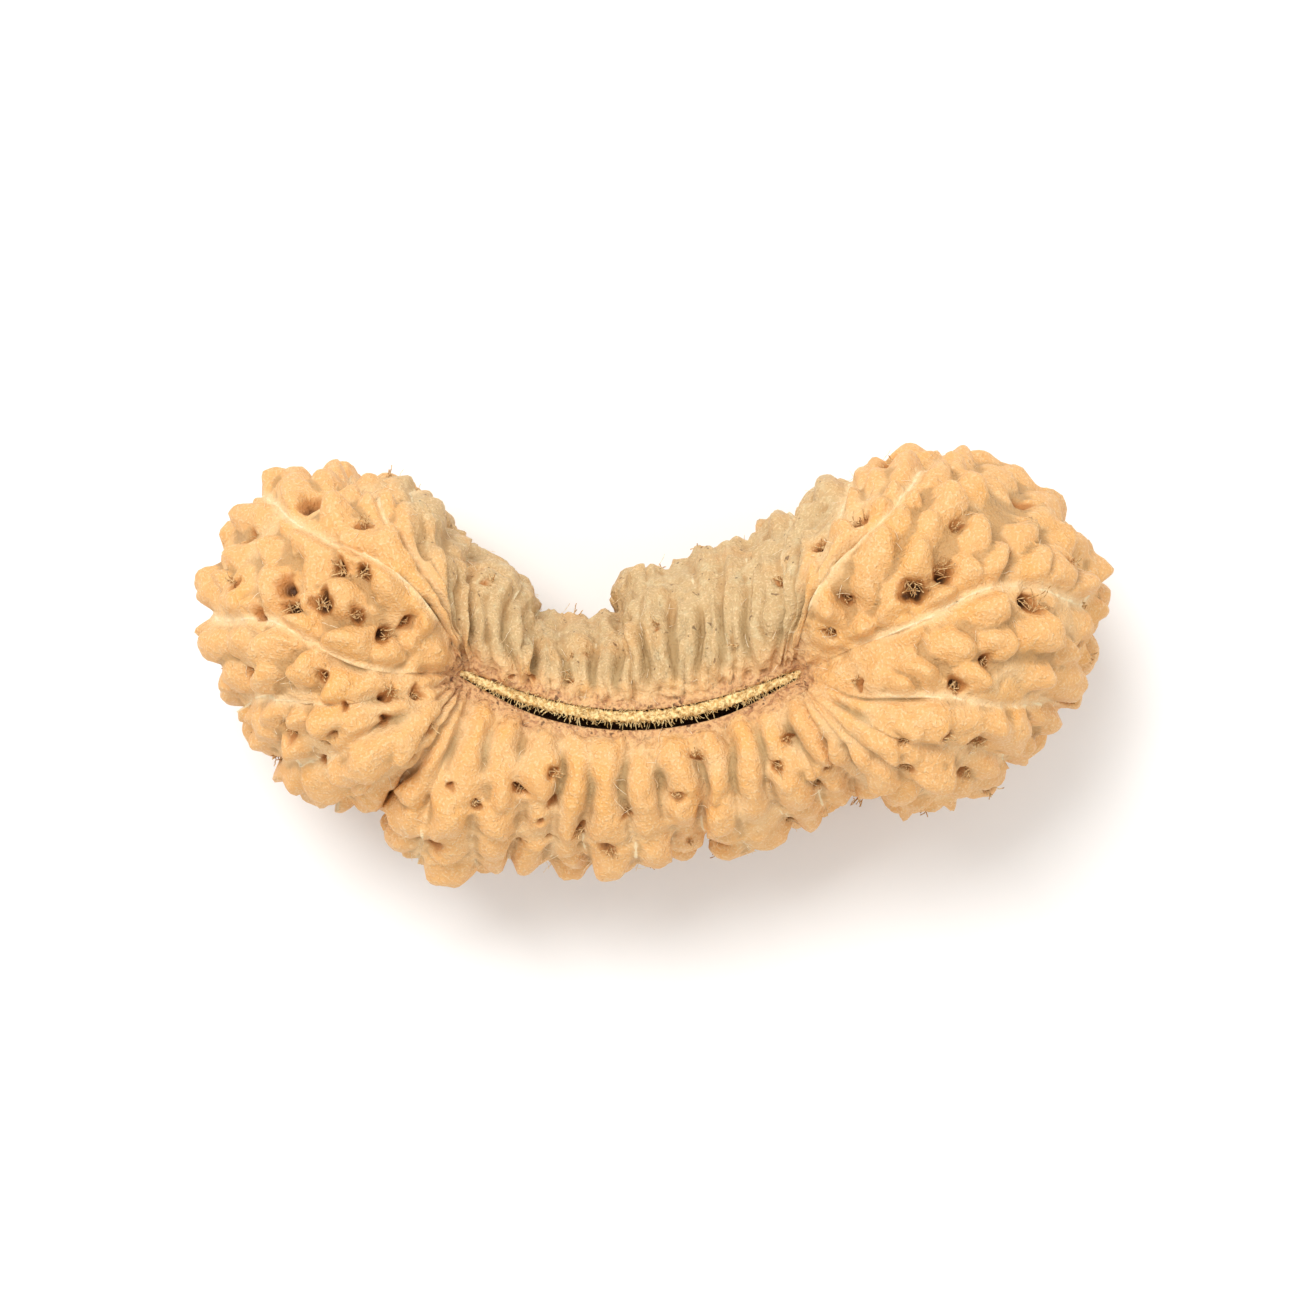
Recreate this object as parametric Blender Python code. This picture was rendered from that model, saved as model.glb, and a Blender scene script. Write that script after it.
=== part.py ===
"""A dried rudraksha bead: one grown stone, saddle-shaped, with two knobbly lobes and a pinched waist.

All dimensions below are in millimetres. X runs from the left lobe to the right lobe, +Y is the hollow
side, -Y the bulging belly, and Z follows the stem axis, with the stem slit on top. The origin is the
bottom centre of the bead's box, so the two worn spots under the lobes lie at Z = 0.
"""

import math

import bmesh
import bpy
import numpy as np
from mathutils import Vector, noise

MM = 0.001

# Stem slit: a shallow bow seen from above, cut into the top and the underside.
SLIT_MIDDLE = (-1.08, -2.33)
SLIT_HALF_LENGTH = 7.64
SLIT_BOW = 2.1
SLIT_HEIGHT = 5.3
SLIT_DEPTH = 1.9
LIP_HALF_WIDTH = 0.55
LIP_END_WIDTH = 0.30
STRIP_HOLLOW_SIDE = 0.40
STRIP_BELLY_SIDE = 0.17
STRIP_END_WIDTH = 0.15
STRIP_RISE = 1.78

# Grown lines that run from the slit over the crown to the underside. Each row: seat along the slit
# (-1 left end, 1 right end), heading at the slit, heading at the girth, reach to the girth, crown
# above and below mid-height, level of the girth.
LINES = (
    (1.00, 24, 19, 14.5, 10.0, 9.9, 0.0),
    (1.00, 88, 54, 12.3, 9.8, 9.7, 0.0),
    (0.95, 92, 69, 10.2, 8.6, 8.6, -0.4),
    (0.88, 92, 84, 7.9, 7.4, 7.6, -1.2),
    (0.72, 92, 91, 7.2, 6.5, 7.0, -1.9),
    (0.56, 92, 92, 7.3, 6.2, 6.8, -2.2),
    (0.41, 92, 92, 7.3, 6.0, 6.6, -2.4),
    (0.27, 92, 92, 7.0, 5.9, 6.5, -2.5),
    (0.10, 92, 92, 7.0, 5.9, 6.4, -2.5),
    (-0.06, 92, 92, 4.9, 5.8, 6.3, -2.3),
    (-0.22, 92, 92, 4.6, 5.7, 6.2, -2.0),
    (-0.40, 92, 92, 4.5, 5.7, 6.2, -1.9),
    (-0.56, 92, 92, 4.3, 5.8, 6.3, -1.7),
    (-0.69, 92, 93, 5.9, 6.2, 6.7, -1.4),
    (-0.93, 95, 97, 6.1, 6.8, 7.2, -1.0),
    (-1.00, 97, 106, 8.8, 7.8, 8.0, -0.5),
    (-1.00, 100, 121, 10.4, 8.8, 8.8, -0.1),
    (-1.00, 104, 143, 12.6, 9.5, 9.6, 0.0),
    (-1.00, 176, 167, 12.2, 9.6, 9.9, 0.0),
    (-1.00, 206, 185, 10.5, 9.5, 9.8, 0.0),
    (-1.00, 226, 204, 9.5, 9.1, 9.2, 0.0),
    (-1.00, 247, 224, 8.2, 8.3, 8.3, -0.1),
    (-0.98, 249, 235, 6.8, 7.4, 7.5, -0.3),
    (-0.93, 251, 251, 8.8, 6.9, 7.1, -0.4),
    (-0.77, 258, 258, 8.3, 6.6, 6.9, -0.5),
    (-0.60, 262, 262, 7.2, 6.4, 6.8, -0.5),
    (-0.42, 267, 267, 6.9, 6.3, 6.7, -0.5),
    (-0.24, 269, 269, 6.6, 6.2, 6.6, -0.5),
    (-0.03, 273, 273, 6.8, 6.2, 6.6, -0.5),
    (0.14, 276, 276, 6.1, 6.2, 6.6, -0.5),
    (0.33, 281, 281, 5.4, 6.3, 6.7, -0.5),
    (0.52, 284, 284, 6.7, 6.4, 6.8, -0.5),
    (0.70, 287, 287, 6.2, 6.7, 7.0, -0.5),
    (0.88, 291, 291, 6.1, 7.0, 7.3, -0.4),
    (1.00, 292, 298, 6.1, 7.6, 7.9, -0.3),
    (1.00, 294, 309, 7.4, 8.5, 8.6, -0.1),
    (1.00, 304, 323, 9.3, 9.2, 9.3, 0.0),
    (1.00, 322, 338, 10.5, 9.8, 9.8, 0.0),
    (1.00, 340, 354, 12.1, 10.0, 9.9, 0.0),
)
COUNT = len(LINES)

# Relief, measured from the smooth stone outwards.
SINK = 0.20
PLATEAU = 0.17
FURROW = 0.24
VALLEY_SHARE = 0.38
WIDEST_SLOPE = 0.6
THREAD_HEIGHT = 0.08
THREAD_WIDTH = 0.12
KNOB_PITCH = 2.05
KNOB_ACROSS = 2.15
KNOB_HEIGHT = 1.0
KNOB_SHARPNESS = 4.0
RIB_HEIGHT = 0.62
LEAN = 0.24
PIT_SHARE = 0.5
WARP = 0.36
WARP_SCALE = 1.35
CLEARANCE = 1.3
PLEAT = 0.36
GRAIN = 0.09
GRAIN_SCALE = 0.9
WANDER = 0.11
SEED = 17

# Knobs on top of the two lobes: plan place as seen from VIEW_HEIGHT above, and radius.
VIEW_HEIGHT = 300.0
KNOB_PLACES = (
    (10.3, 9.5, 0.8), (12.2, 9.8, 0.85), (13.9, 9.2, 0.9), (15.3, 9.8, 0.85), (17.0, 9.1, 1.05),
    (14.8, 8.4, 0.85), (10.7, 8.6, 0.9), (11.7, 8.0, 0.8), (9.2, 7.9, 0.85), (7.4, 7.3, 0.9),
    (6.1, 6.7, 0.85), (8.8, 6.5, 0.8), (7.0, 6.1, 0.7), (13.6, 7.4, 1.1), (12.7, 6.6, 0.8),
    (10.6, 5.6, 1.1), (12.1, 4.9, 1.1), (10.0, 4.2, 0.8), (14.9, 6.1, 1.05), (15.8, 5.0, 1.0),
    (14.4, 4.4, 0.8), (17.3, 6.4, 0.9), (18.8, 5.8, 1.0), (20.3, 5.7, 0.7), (21.1, 4.2, 0.85),
    (19.8, 3.9, 0.9), (17.7, 4.9, 0.9), (13.4, 3.4, 0.95), (11.2, 3.3, 1.0), (8.0, 2.3, 1.0),
    (7.1, 1.0, 1.0), (8.6, 0.1, 1.0), (12.4, 0.1, 0.95), (14.1, 1.1, 0.9), (15.7, 3.0, 1.0),
    (17.9, 1.9, 1.15), (16.0, 1.3, 0.9), (21.1, 2.7, 0.7), (11.5, -0.6, 0.8), (10.1, -0.4, 0.8),
    (15.1, -0.2, 0.75), (18.0, -0.3, 0.8), (19.9, -0.9, 0.65), (18.9, -2.2, 0.8), (11.7, -2.4, 1.0),
    (13.1, -2.6, 0.8), (15.9, -2.4, 1.0), (9.8, -2.4, 0.8), (12.9, -4.7, 1.1), (15.7, -4.8, 0.8),
    (15.8, -5.7, 0.8), (17.1, -4.8, 0.65), (11.6, -6.2, 0.95), (13.1, -6.7, 0.7), (14.2, -6.5, 0.7),
    (9.8, -5.7, 0.7), (8.6, -5.1, 0.7), (7.4, -4.5, 0.7), (8.0, -6.4, 0.75), (19.1, 0.9, 0.8),
    (20.4, 0.5, 0.75), (11.7, 1.8, 0.9), (9.8, 1.8, 0.9), (17.7, -2.0, 0.7), (-18.4, 8.5, 0.85),
    (-16.9, 8.8, 1.0), (-16.8, 7.5, 0.8), (-15.3, 8.4, 0.9), (-14.2, 8.7, 0.8), (-13.1, 8.6, 0.9),
    (-12.0, 8.1, 0.8), (-18.7, 7.1, 0.9), (-17.1, 6.8, 0.75), (-14.8, 7.3, 0.95), (-12.9, 7.4, 1.0),
    (-11.7, 6.4, 0.95), (-9.9, 7.0, 0.9), (-9.3, 6.1, 0.8), (-8.6, 5.5, 0.75), (-12.4, 5.8, 1.0),
    (-19.9, 6.5, 0.8), (-16.0, 6.0, 1.0), (-14.2, 5.4, 0.9), (-13.3, 5.1, 0.85), (-17.9, 5.4, 0.8),
    (-19.2, 5.4, 0.85), (-21.0, 3.6, 0.85), (-19.9, 4.0, 0.7), (-18.8, 2.7, 0.85),
    (-21.0, 1.8, 0.8), (-16.9, 1.7, 1.0), (-16.0, 3.2, 0.8), (-14.5, 3.3, 1.0), (-12.4, 3.9, 1.05),
    (-11.0, 3.4, 0.9), (-10.1, 4.7, 1.1), (-10.1, 2.7, 1.0), (-14.2, 1.3, 1.05), (-12.7, 0.7, 0.85),
    (-11.1, 1.1, 1.0), (-17.8, 0.9, 0.95), (-15.9, 0.3, 1.0), (-19.6, -0.3, 0.75),
    (-17.9, -0.3, 0.85), (-14.5, -0.6, 0.9), (-13.2, -0.5, 0.85), (-11.5, -0.4, 0.9),
    (-16.5, -2.1, 0.8), (-17.7, -1.8, 0.8), (-19.0, -2.0, 0.7), (-15.3, -2.4, 0.9),
    (-13.8, -2.1, 0.8), (-11.7, -2.0, 0.9), (-9.1, -2.1, 1.0), (-10.1, -3.1, 0.9),
    (-11.8, -3.7, 0.9), (-14.4, -4.4, 0.95), (-13.4, -5.1, 0.8), (-14.8, -6.1, 0.85),
    (-15.7, -6.4, 0.75), (-16.9, -5.6, 0.85), (-18.0, -4.8, 0.75), (-18.1, -3.1, 0.8),
    (-16.8, -3.4, 0.8), (-9.0, 1.6, 0.9), (-8.7, 3.3, 0.9),
)

# Pits on the upper side: plan place and radius.
PIT_PLACES = (
    (12.1, 3.7, 0.5), (13.4, 4.6, 0.42), (9.5, 7.1, 0.42), (7.6, 5.9, 0.38), (9.1, 3.2, 0.3),
    (8.3, 1.9, 0.25), (5.8, 4.3, 0.2), (17.7, 3.0, 0.5), (20.4, 2.8, 0.35), (14.3, -0.7, 0.35),
    (15.5, 0.1, 0.3), (9.5, -0.5, 0.25), (17.2, 7.7, 0.35), (16.4, 5.7, 0.3), (13.4, -2.9, 0.3),
    (15.2, -3.3, 0.35), (11.8, -4.5, 0.3), (13.8, -5.8, 0.25), (16.6, -3.6, 0.2),
    (19.1, -1.1, 0.25), (14.5, -4.7, 0.25), (19.7, 1.0, 0.25), (6.2, -3.3, 0.22), (5.8, -4.4, 0.25),
    (7.7, -5.3, 0.25), (8.2, -4.3, 0.2), (14.0, 6.4, 0.25), (11.6, -3.2, 0.2), (18.9, 4.9, 0.2),
    (-13.5, 6.7, 0.3), (-15.9, 7.8, 0.4), (-18.9, 6.1, 0.3), (-19.3, 3.9, 0.22), (-18.3, 2.6, 0.3),
    (-17.0, 4.0, 0.5), (-16.8, 2.9, 0.45), (-15.3, 3.0, 0.4), (-14.4, 4.7, 0.42),
    (-13.3, 4.5, 0.38), (-13.8, 2.4, 0.32), (-11.6, 2.3, 0.28), (-12.5, 1.6, 0.36),
    (-18.6, 0.6, 0.25), (-18.8, -0.4, 0.32), (-15.3, -0.2, 0.28), (-12.4, -1.0, 0.34),
    (-11.1, -1.1, 0.25), (-14.4, -1.6, 0.2), (-12.6, -2.4, 0.3), (-16.9, -2.7, 0.35),
    (-15.3, -3.3, 0.28), (-17.5, -4.0, 0.25), (-15.4, -4.5, 0.3), (-16.7, -4.9, 0.3),
    (-11.4, -4.0, 0.25), (-10.5, -2.7, 0.3), (-9.7, -5.2, 0.22), (-10.6, -8.0, 0.4),
    (-12.9, -6.7, 0.3), (-9.6, 6.4, 0.2), (-8.0, 3.7, 0.15), (-14.7, -2.8, 0.2), (-8.4, -6.1, 0.25),
    (-4.6, -4.7, 0.27), (-6.3, -5.6, 0.27), (-4.8, -6.3, 0.2), (-5.3, -6.9, 0.22),
    (-3.4, -7.6, 0.24), (-6.4, -8.0, 0.2), (-2.1, -8.1, 0.28), (-1.2, -6.9, 0.22),
    (2.0, -3.9, 0.24), (1.5, -7.7, 0.18), (1.1, -5.6, 0.2), (6.3, -7.0, 0.22), (-3.3, 0.7, 0.18),
    (0.1, 1.9, 0.2), (-3.9, 0.7, 0.12), (-5.7, -0.6, 0.2), (-6.8, -0.4, 0.18), (-3.9, -0.3, 0.2),
    (3.9, 1.1, 0.12), (-5.0, -7.9, 0.15),
)

# Worn spots the bead stands on, one under each lobe: centre, radius over which the knobs die away.
REST_SPOTS = ((-14.0, -0.2, 2.8), (12.4, -0.2, 2.8))
REST_LEVEL = -9.97

# Middle of the bead's box in the frame of the slit.
BOX_MIDDLE = (0.02, 0.26)

ROWS = 150
COLUMN_WIDTH = 0.42
GRAIN_OF_BODY = 0.2
TRIANGLES = 11500


def smooth(x):
    """A soft step from 0 at x = 0 to 1 at x = 1."""
    x = np.clip(x, 0.0, 1.0)
    return x * x * (3.0 - 2.0 * x)


def along_lines(column, u, turn=0.0):
    """A value listed per grown line, carried smoothly round the bead; turn is its gain per round."""
    keys = np.array([line[column] for line in LINES], float) - turn * np.arange(COUNT) / COUNT
    if turn:
        keys = np.where(keys - keys[0] > turn / 2, keys - turn, keys)
    after = np.roll(keys, -1) - keys
    before = np.roll(after, 1)
    both = before + after
    same = (before * after > 0) & (np.abs(both) > 1e-9)
    slope = np.where(same, 2 * before * after / np.where(same, both, 1.0), 0.0)
    cell = np.floor(u).astype(int)
    t = u - cell
    i, j = cell % COUNT, (cell + 1) % COUNT
    value = (
        keys[i] * (2 * t**3 - 3 * t**2 + 1)
        + slope[i] * (t**3 - 2 * t**2 + t)
        + keys[j] * (3 * t**2 - 2 * t**3)
        + slope[j] * (t**3 - t**2)
    )
    return value + turn * u / COUNT


def slit_point(seat):
    """Plan position of a seat on the slit."""
    x = SLIT_MIDDLE[0] + SLIT_HALF_LENGTH * seat
    y = SLIT_MIDDLE[1] + SLIT_BOW * seat**2
    return np.stack([x, y], -1)


def heading_vector(degrees):
    """Unit plan vector of a heading."""
    angle = np.radians(degrees)
    return np.stack([np.cos(angle), np.sin(angle)], -1)


def lip_width(u):
    """Half the width between the slit's lips, narrowing to its ends."""
    seat = np.clip(along_lines(0, u), -1, 1)
    return LIP_END_WIDTH + (LIP_HALF_WIDTH - LIP_END_WIDTH) * (1 - seat**6)


def plan(u, run):
    """Plan position at a run (0 at the slit, 1 at the girth) along the line u."""
    foot = slit_point(np.clip(along_lines(0, u), -1, 1))
    start = heading_vector(along_lines(1, u, 360.0))
    end = heading_vector(along_lines(2, u, 360.0))
    reach = along_lines(3, u)[..., None]
    lip = lip_width(u)[..., None]
    run = run[..., None] * (1 - lip / reach) + lip / reach
    return foot + start * reach * run * (1 - run) + end * reach * run**2


def wander(u, v):
    """Sideways wander of the grown lines, in shares of a segment, dying out at the slits."""
    turn = 2 * math.pi / COUNT
    wave = np.sin(11.0 * v + 9 * turn * u) + 0.7 * np.sin(23.0 * v - 14 * turn * u + 1.3)
    return WANDER * wave * smooth(np.minimum(v, 1 - v) / 0.12)


def stone(u, v):
    """The smooth stone: v runs from the upper lip (0) over the girth (0.5) to the lower lip (1)."""
    u = u + wander(u, v)
    girth = along_lines(6, u)
    upper = v < 0.5
    crown = np.where(upper, along_lines(4, u) - girth, along_lines(5, u) + girth)
    edge = np.where(upper, SLIT_HEIGHT - girth, SLIT_HEIGHT + girth)
    rise = np.clip(edge / crown, -0.98, 0.985)
    start = math.pi - np.arcsin(rise)
    angle = start * np.abs(1 - 2 * v)
    inset = np.sqrt(1 - rise**2)
    run = (inset + np.cos(angle)) / (1 + inset)
    level = girth + np.where(upper, 1, -1) * crown * np.sin(angle)
    return np.concatenate([plan(u, run), level[..., None]], -1)


def unit(vectors):
    """Vectors scaled to length one."""
    return vectors / np.maximum(np.linalg.norm(vectors, axis=-1, keepdims=True), 1e-12)


def frames(u, v):
    """Unit vectors across the lines, down the lines and out of the stone."""
    du, dv = 0.02, 0.002
    across = stone(u + du, v) - stone(u - du, v)
    down = stone(u, np.minimum(v + dv, 1)) - stone(u, np.maximum(v - dv, 0))
    return unit(across), unit(down), unit(np.cross(down, across))


def drift(points, scale, shift):
    """Smooth noise in three directions at the points."""
    offset = Vector((shift, 2.0 * shift, -shift))
    flat = points.reshape(-1, 3) / scale
    drawn = [noise.noise_vector(Vector(p) + offset) for p in flat]
    return np.array(drawn).reshape(points.shape)


def columns():
    """Values of u round the bead, closer together beside the grown lines."""
    values = []
    for line in range(COUNT):
        v = np.linspace(0, 1, 41)
        left = stone(np.full(41, float(line)), v)
        right = stone(np.full(41, line + 1.0), v)
        width = np.linalg.norm(right - left, axis=-1).max()
        steps = int(np.clip(round(width / COLUMN_WIDTH), 6, 16))
        x = np.arange(steps) / steps
        values.extend(line + x - 0.085 * np.sin(2 * math.pi * x))
    return np.array(values)


def find_places(places):
    """Line numbers and v of plan places on the upper side."""
    u, v = np.meshgrid(np.arange(0, COUNT, 0.05), np.linspace(0.02, 0.5, 97), indexing="ij")
    points = stone(u, v)
    seen = points[..., :2] * (1 + points[..., 2:] / VIEW_HEIGHT)
    found = []
    for x, y, radius in places:
        near = np.argmin(np.hypot(seen[..., 0] - x, seen[..., 1] - y))
        found.append((u.flat[near], v.flat[near], radius))
    return found


def place_features(rng):
    """Knobs and pits: those read on the upper side, then more drawn along every segment."""
    knobs, pits = [], []
    for u, v, radius in find_places(KNOB_PLACES):
        height = KNOB_HEIGHT * (0.35 + 0.72 * radius) * (0.9 + 0.25 * rng.random())
        knobs.append((u, v, 0.8 * radius, 0.95 * radius, height))
    for u, v, radius in find_places(PIT_PLACES):
        pits.append((u, v, radius, 1.9 * radius))
    taken = stone(np.array([k[0] for k in knobs]), np.array([k[1] for k in knobs]))
    v = np.linspace(0, 1, 241)
    for line in range(COUNT):
        middle = stone(np.full(241, line + 0.5), v)
        left = stone(np.full(241, line + 0.001), v)
        right = stone(np.full(241, line + 0.999), v)
        length = np.concatenate([[0], np.cumsum(np.linalg.norm(np.diff(middle, axis=0), axis=-1))])
        width = np.linalg.norm(left - middle, axis=-1) + np.linalg.norm(right - middle, axis=-1)
        s = 0.9 + 3.2 * rng.random()
        row = 0
        while s < length[-1] - 0.8:
            wide = np.interp(s, length, width)
            number = max(1, int(round(wide / KNOB_ACROSS)))
            step = KNOB_PITCH * (0.85 + 0.35 * rng.random()) * (1.0 if wide > 1.6 else 0.92)
            shift = 0.25 * (row % 2 - 0.5) * (number > 1)
            for place in range(number):
                across = (place + 0.5 + shift + 0.22 * (rng.random() - 0.5)) / number
                jitter = step * 0.5 * (rng.random() - 0.5) * (number > 1)
                here = np.interp(np.clip(s + jitter, 0.6, length[-1] - 0.6), length, v)
                size = 0.38 + 0.92 * rng.random()
                half = 0.5 * wide / number * (0.9 + 0.2 * rng.random())
                at = stone(np.array(line + across), np.array(here))
                clear = here > 0.09 and np.linalg.norm(taken - at, axis=-1).min() > CLEARANCE
                if here > 0.47 or clear:
                    long = step * (0.47 if wide > 1.6 else 0.56) * (0.45 + 0.65 * size)
                    knobs.append((line + across, here, half, long, KNOB_HEIGHT * size))
            if rng.random() < PIT_SHARE and wide > 1.1 and s > 1.5:
                between = rng.integers(1, number) / number if number > 1 else 0.5
                here = np.interp(s + 0.5 * step, length, v)
                radius = (0.24 + 0.22 * rng.random()) * np.clip(wide / 3.0, 0.62, 1.2)
                if here > 0.45:
                    across = line + between + 0.06 * (rng.random() - 0.5)
                    pits.append((across, here, 0.9 * radius, 1.8 * radius))
            s += step
            row += 1
    return np.array(knobs), np.array(pits)


def raise_knobs(points, normals, knobs):
    """Height of the merged knobs at the points; each is blunt, and steeper on its outer end."""
    total = np.zeros(points.shape[:-1])
    centres = stone(knobs[:, 0], knobs[:, 1])
    across, down, out = frames(knobs[:, 0], knobs[:, 1])
    for i, (_, v, half, length, height) in enumerate(knobs):
        away = points - centres[i]
        near = (np.einsum("...k,...k", away, away) < 9.0) & (normals @ out[i] > 0.1)
        part = away[near]
        x = part @ across[i] / half
        y = part @ down[i] * (1 if v < 0.5 else -1)
        y = np.where(y > 0, y / (0.9 * length), y / (1.35 * length))
        r2 = x * x + y * y
        edge = 0.35 + 0.4 * smooth((half - 0.5) / 0.35)
        edge = 1.05 + edge * smooth(0.45 + 0.55 * y / np.sqrt(r2 + 1e-9))
        shape = np.exp(-1.1 * r2**edge)
        total[near] += (height * shape) ** KNOB_SHARPNESS
    return total ** (1 / KNOB_SHARPNESS)


def sink_pits(points, normals, pits):
    """Depth of the pits at the points, each with a soft funnel round its mouth."""
    total = np.zeros(points.shape[:-1])
    centres = stone(pits[:, 0], pits[:, 1])
    out = frames(pits[:, 0], pits[:, 1])[2]
    for i, (_, _, radius, depth) in enumerate(pits):
        away = points - centres[i]
        near = (np.einsum("...k,...k", away, away) < 4.0) & (normals @ out[i] > 0.1)
        d = np.linalg.norm(away[near], axis=-1) / radius
        shape = depth * np.exp(-(d**3.2)) + 0.22 * np.exp(-((d / 2.1) ** 2))
        total[near] = np.maximum(total[near], shape)
    return total


def relief(u, v, points, normals, knobs, pits):
    """How far the grown surface lies out from the smooth stone, and how far its knobs lean down the lines."""
    steps = np.linalg.norm(np.diff(np.concatenate([points, points[:1]]), axis=0), axis=-1)
    travelled = np.concatenate([np.zeros((1, points.shape[1])), np.cumsum(steps, axis=0)])
    at_line = travelled[np.append(np.searchsorted(u, np.arange(COUNT) - 1e-6), len(u))]
    cell = np.floor(u + 1e-6).astype(int)
    from_left = travelled[:-1] - at_line[cell]
    width = at_line[cell + 1] - at_line[cell]
    from_line = np.minimum(from_left, width - from_left)
    drifted = points + WARP * drift(points, WARP_SCALE, 3.1)
    edge = drift(points, 1.1, 9.7)
    slope = np.clip(VALLEY_SHARE * width, 0.12, WIDEST_SLOPE)
    bank = smooth((from_line + 0.16 * edge[..., 0]) / slope)
    grain = GRAIN * drift(points, GRAIN_SCALE, 5.3)[..., 1]
    raised = raise_knobs(drifted, normals, knobs)
    narrow = 0.30 + 0.70 * smooth(width / 2.7)
    rows = np.minimum(v, 1 - v)
    upstream = np.exp(-(((rows - 0.15) / 0.10) ** 2)) * (1 - smooth((width - 1.6) / 1.2))
    shoulder = smooth((from_line + 0.14 * edge[..., 0]) / np.minimum(0.62, 0.42 * width))
    hollow_side = smooth((heading_vector(along_lines(2, u, 360.0))[:, 1] - 0.8) / 0.15)[:, None]
    onward = np.abs(heading_vector(along_lines(1, u, 360.0))[:, 0])[:, None]
    merged = smooth((onward - 0.45) / 0.3) * (1 - smooth((rows - 0.03) / 0.09))
    patches = drift(points, 2.4, 1.9)
    slim = 1 - smooth((width - 2.6) / 1.0)
    outer = smooth((rows - 0.22) / 0.14)
    merged = np.maximum(0.85 * merged, slim * outer * np.clip(0.55 + 1.1 * patches[..., 1], 0.1, 0.9))
    bank = bank + (1 - bank) * merged
    shoulder = shoulder + (1 - shoulder) * merged
    raised = raised * (1 - 0.75 * slim * (1 - hollow_side) * (1 - smooth((rows - 0.12) / 0.13)))
    dome = np.clip(1 - np.abs(2 * from_left / width - 1 + 0.25 * edge[..., 1]) ** 2.4, 0, 1)
    run_on = smooth((rows - 0.015) / 0.09) * (1 - smooth((rows - 0.24) / 0.16)) * slim
    rib = RIB_HEIGHT * dome * run_on * (1 - 0.5 * hollow_side) * (1 + 0.7 * drift(points, 1.9, 4.4)[..., 0])
    raised = (raised**KNOB_SHARPNESS + rib**KNOB_SHARPNESS) ** (1 / KNOB_SHARPNESS)
    height = bank * PLATEAU + raised * narrow * shoulder * (1 - 0.3 * hollow_side) + grain
    furrow = (1 - smooth(from_line / np.minimum(0.42, 0.4 * width))) * upstream
    height -= FURROW * furrow * (1 + 0.6 * hollow_side)
    across = (u - np.floor(u + 1e-6))[:, None] - 0.5 + 0.16 * edge[..., 1]
    height -= PLEAT * np.exp(-((across / 0.13) ** 2)) * hollow_side * bank * (1 - 0.7 * outer)
    thread = np.exp(-((from_line / THREAD_WIDTH) ** 2)) * smooth(width / 0.7)
    worn = patches[..., 0] - 0.3 * (width < 2.4) - 0.3 * hollow_side
    thread = thread * np.clip(0.95 + 1.5 * worn + 0.8 * edge[..., 2] - 0.9 * upstream, 0.0, 1.0)
    height += THREAD_HEIGHT * thread - sink_pits(drifted, normals, pits)
    calm = np.ones(points.shape[:-1])
    for x, y, radius in REST_SPOTS:
        away = np.hypot(points[..., 0] - x, points[..., 1] - y)
        calm = np.minimum(calm, np.where(points[..., 2] < 0, smooth(away / radius - 0.25), 1.0))
    height = height * calm + (SINK + 0.3) * (1 - calm)
    lips = smooth(rows / 0.035)
    lift = (height - SINK) * lips + 0.05 * (1 - lips)
    lean = LEAN * raised * bank * narrow * lips * calm * np.clip((0.5 - v) / 0.07, -1, 1)
    return lift, lean


def bead_grid():
    """Rings of points: the grown surface from the upper lip to the lower lip, then both slits."""
    u = columns()
    v = np.linspace(0, 1, ROWS + 1)
    uu, vv = np.meshgrid(u, v, indexing="ij")
    points = stone(uu, vv)
    _, down, normals = frames(uu, vv)
    knobs, pits = place_features(np.random.default_rng(SEED))
    lift, lean = relief(u, vv, points, normals, knobs, pits)
    skin = points + normals * lift[..., None] + down * lean[..., None]
    foot = slit_point(np.clip(along_lines(0, u), -1, 1))
    heading = heading_vector(along_lines(1, u, 360.0))
    side = np.where(heading[:, 1] > 0, STRIP_HOLLOW_SIDE, STRIP_BELLY_SIDE)
    seat = np.clip(along_lines(0, u), -1, 1)
    strip = STRIP_END_WIDTH + (side - STRIP_END_WIDTH) * (1 - seat**6)
    lip = lip_width(u)
    slits = {}
    for sign in (1, -1):
        rings = []
        for width, drop in (
            (lip * 0.93, 0.35),
            (lip * 0.9, SLIT_DEPTH),
            (strip * 1.05, SLIT_DEPTH),
            (strip, SLIT_DEPTH - STRIP_RISE + 0.12),
            (strip * 0.7, SLIT_DEPTH - STRIP_RISE),
        ):
            level = np.full((len(u), 1), sign * (SLIT_HEIGHT - drop))
            rings.append(np.concatenate([foot + heading * width[:, None], level], -1))
        slits[sign] = rings
    rings = list(reversed(slits[1])) + [skin[:, k] for k in range(ROWS + 1)] + slits[-1]
    return np.stack(rings, 1)


def bead_mesh():
    """The bead as one closed mesh, standing with its worn spots at Z = 0."""
    grid = bead_grid()
    grid = (grid - np.array([BOX_MIDDLE[0], BOX_MIDDLE[1], REST_LEVEL])) * MM
    around, down = grid.shape[:2]
    mesh = bpy.data.meshes.new("bead")
    index = np.arange(around * down).reshape(around, down)
    nxt = np.roll(index, -1, axis=0)
    faces = np.stack([index[:, :-1], nxt[:, :-1], nxt[:, 1:], index[:, 1:]], -1).reshape(-1, 4)
    caps = [index[::-1, 0].tolist(), index[:, -1].tolist()]
    mesh.from_pydata(grid.reshape(-1, 3).tolist(), [], faces.tolist() + caps)
    work = bmesh.new()
    work.from_mesh(mesh)
    bmesh.ops.triangulate(work, faces=[f for f in work.faces if len(f.verts) > 4])
    bmesh.ops.recalc_face_normals(work, faces=work.faces)
    work.to_mesh(mesh)
    work.free()
    mesh.shade_smooth()
    return mesh


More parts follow.
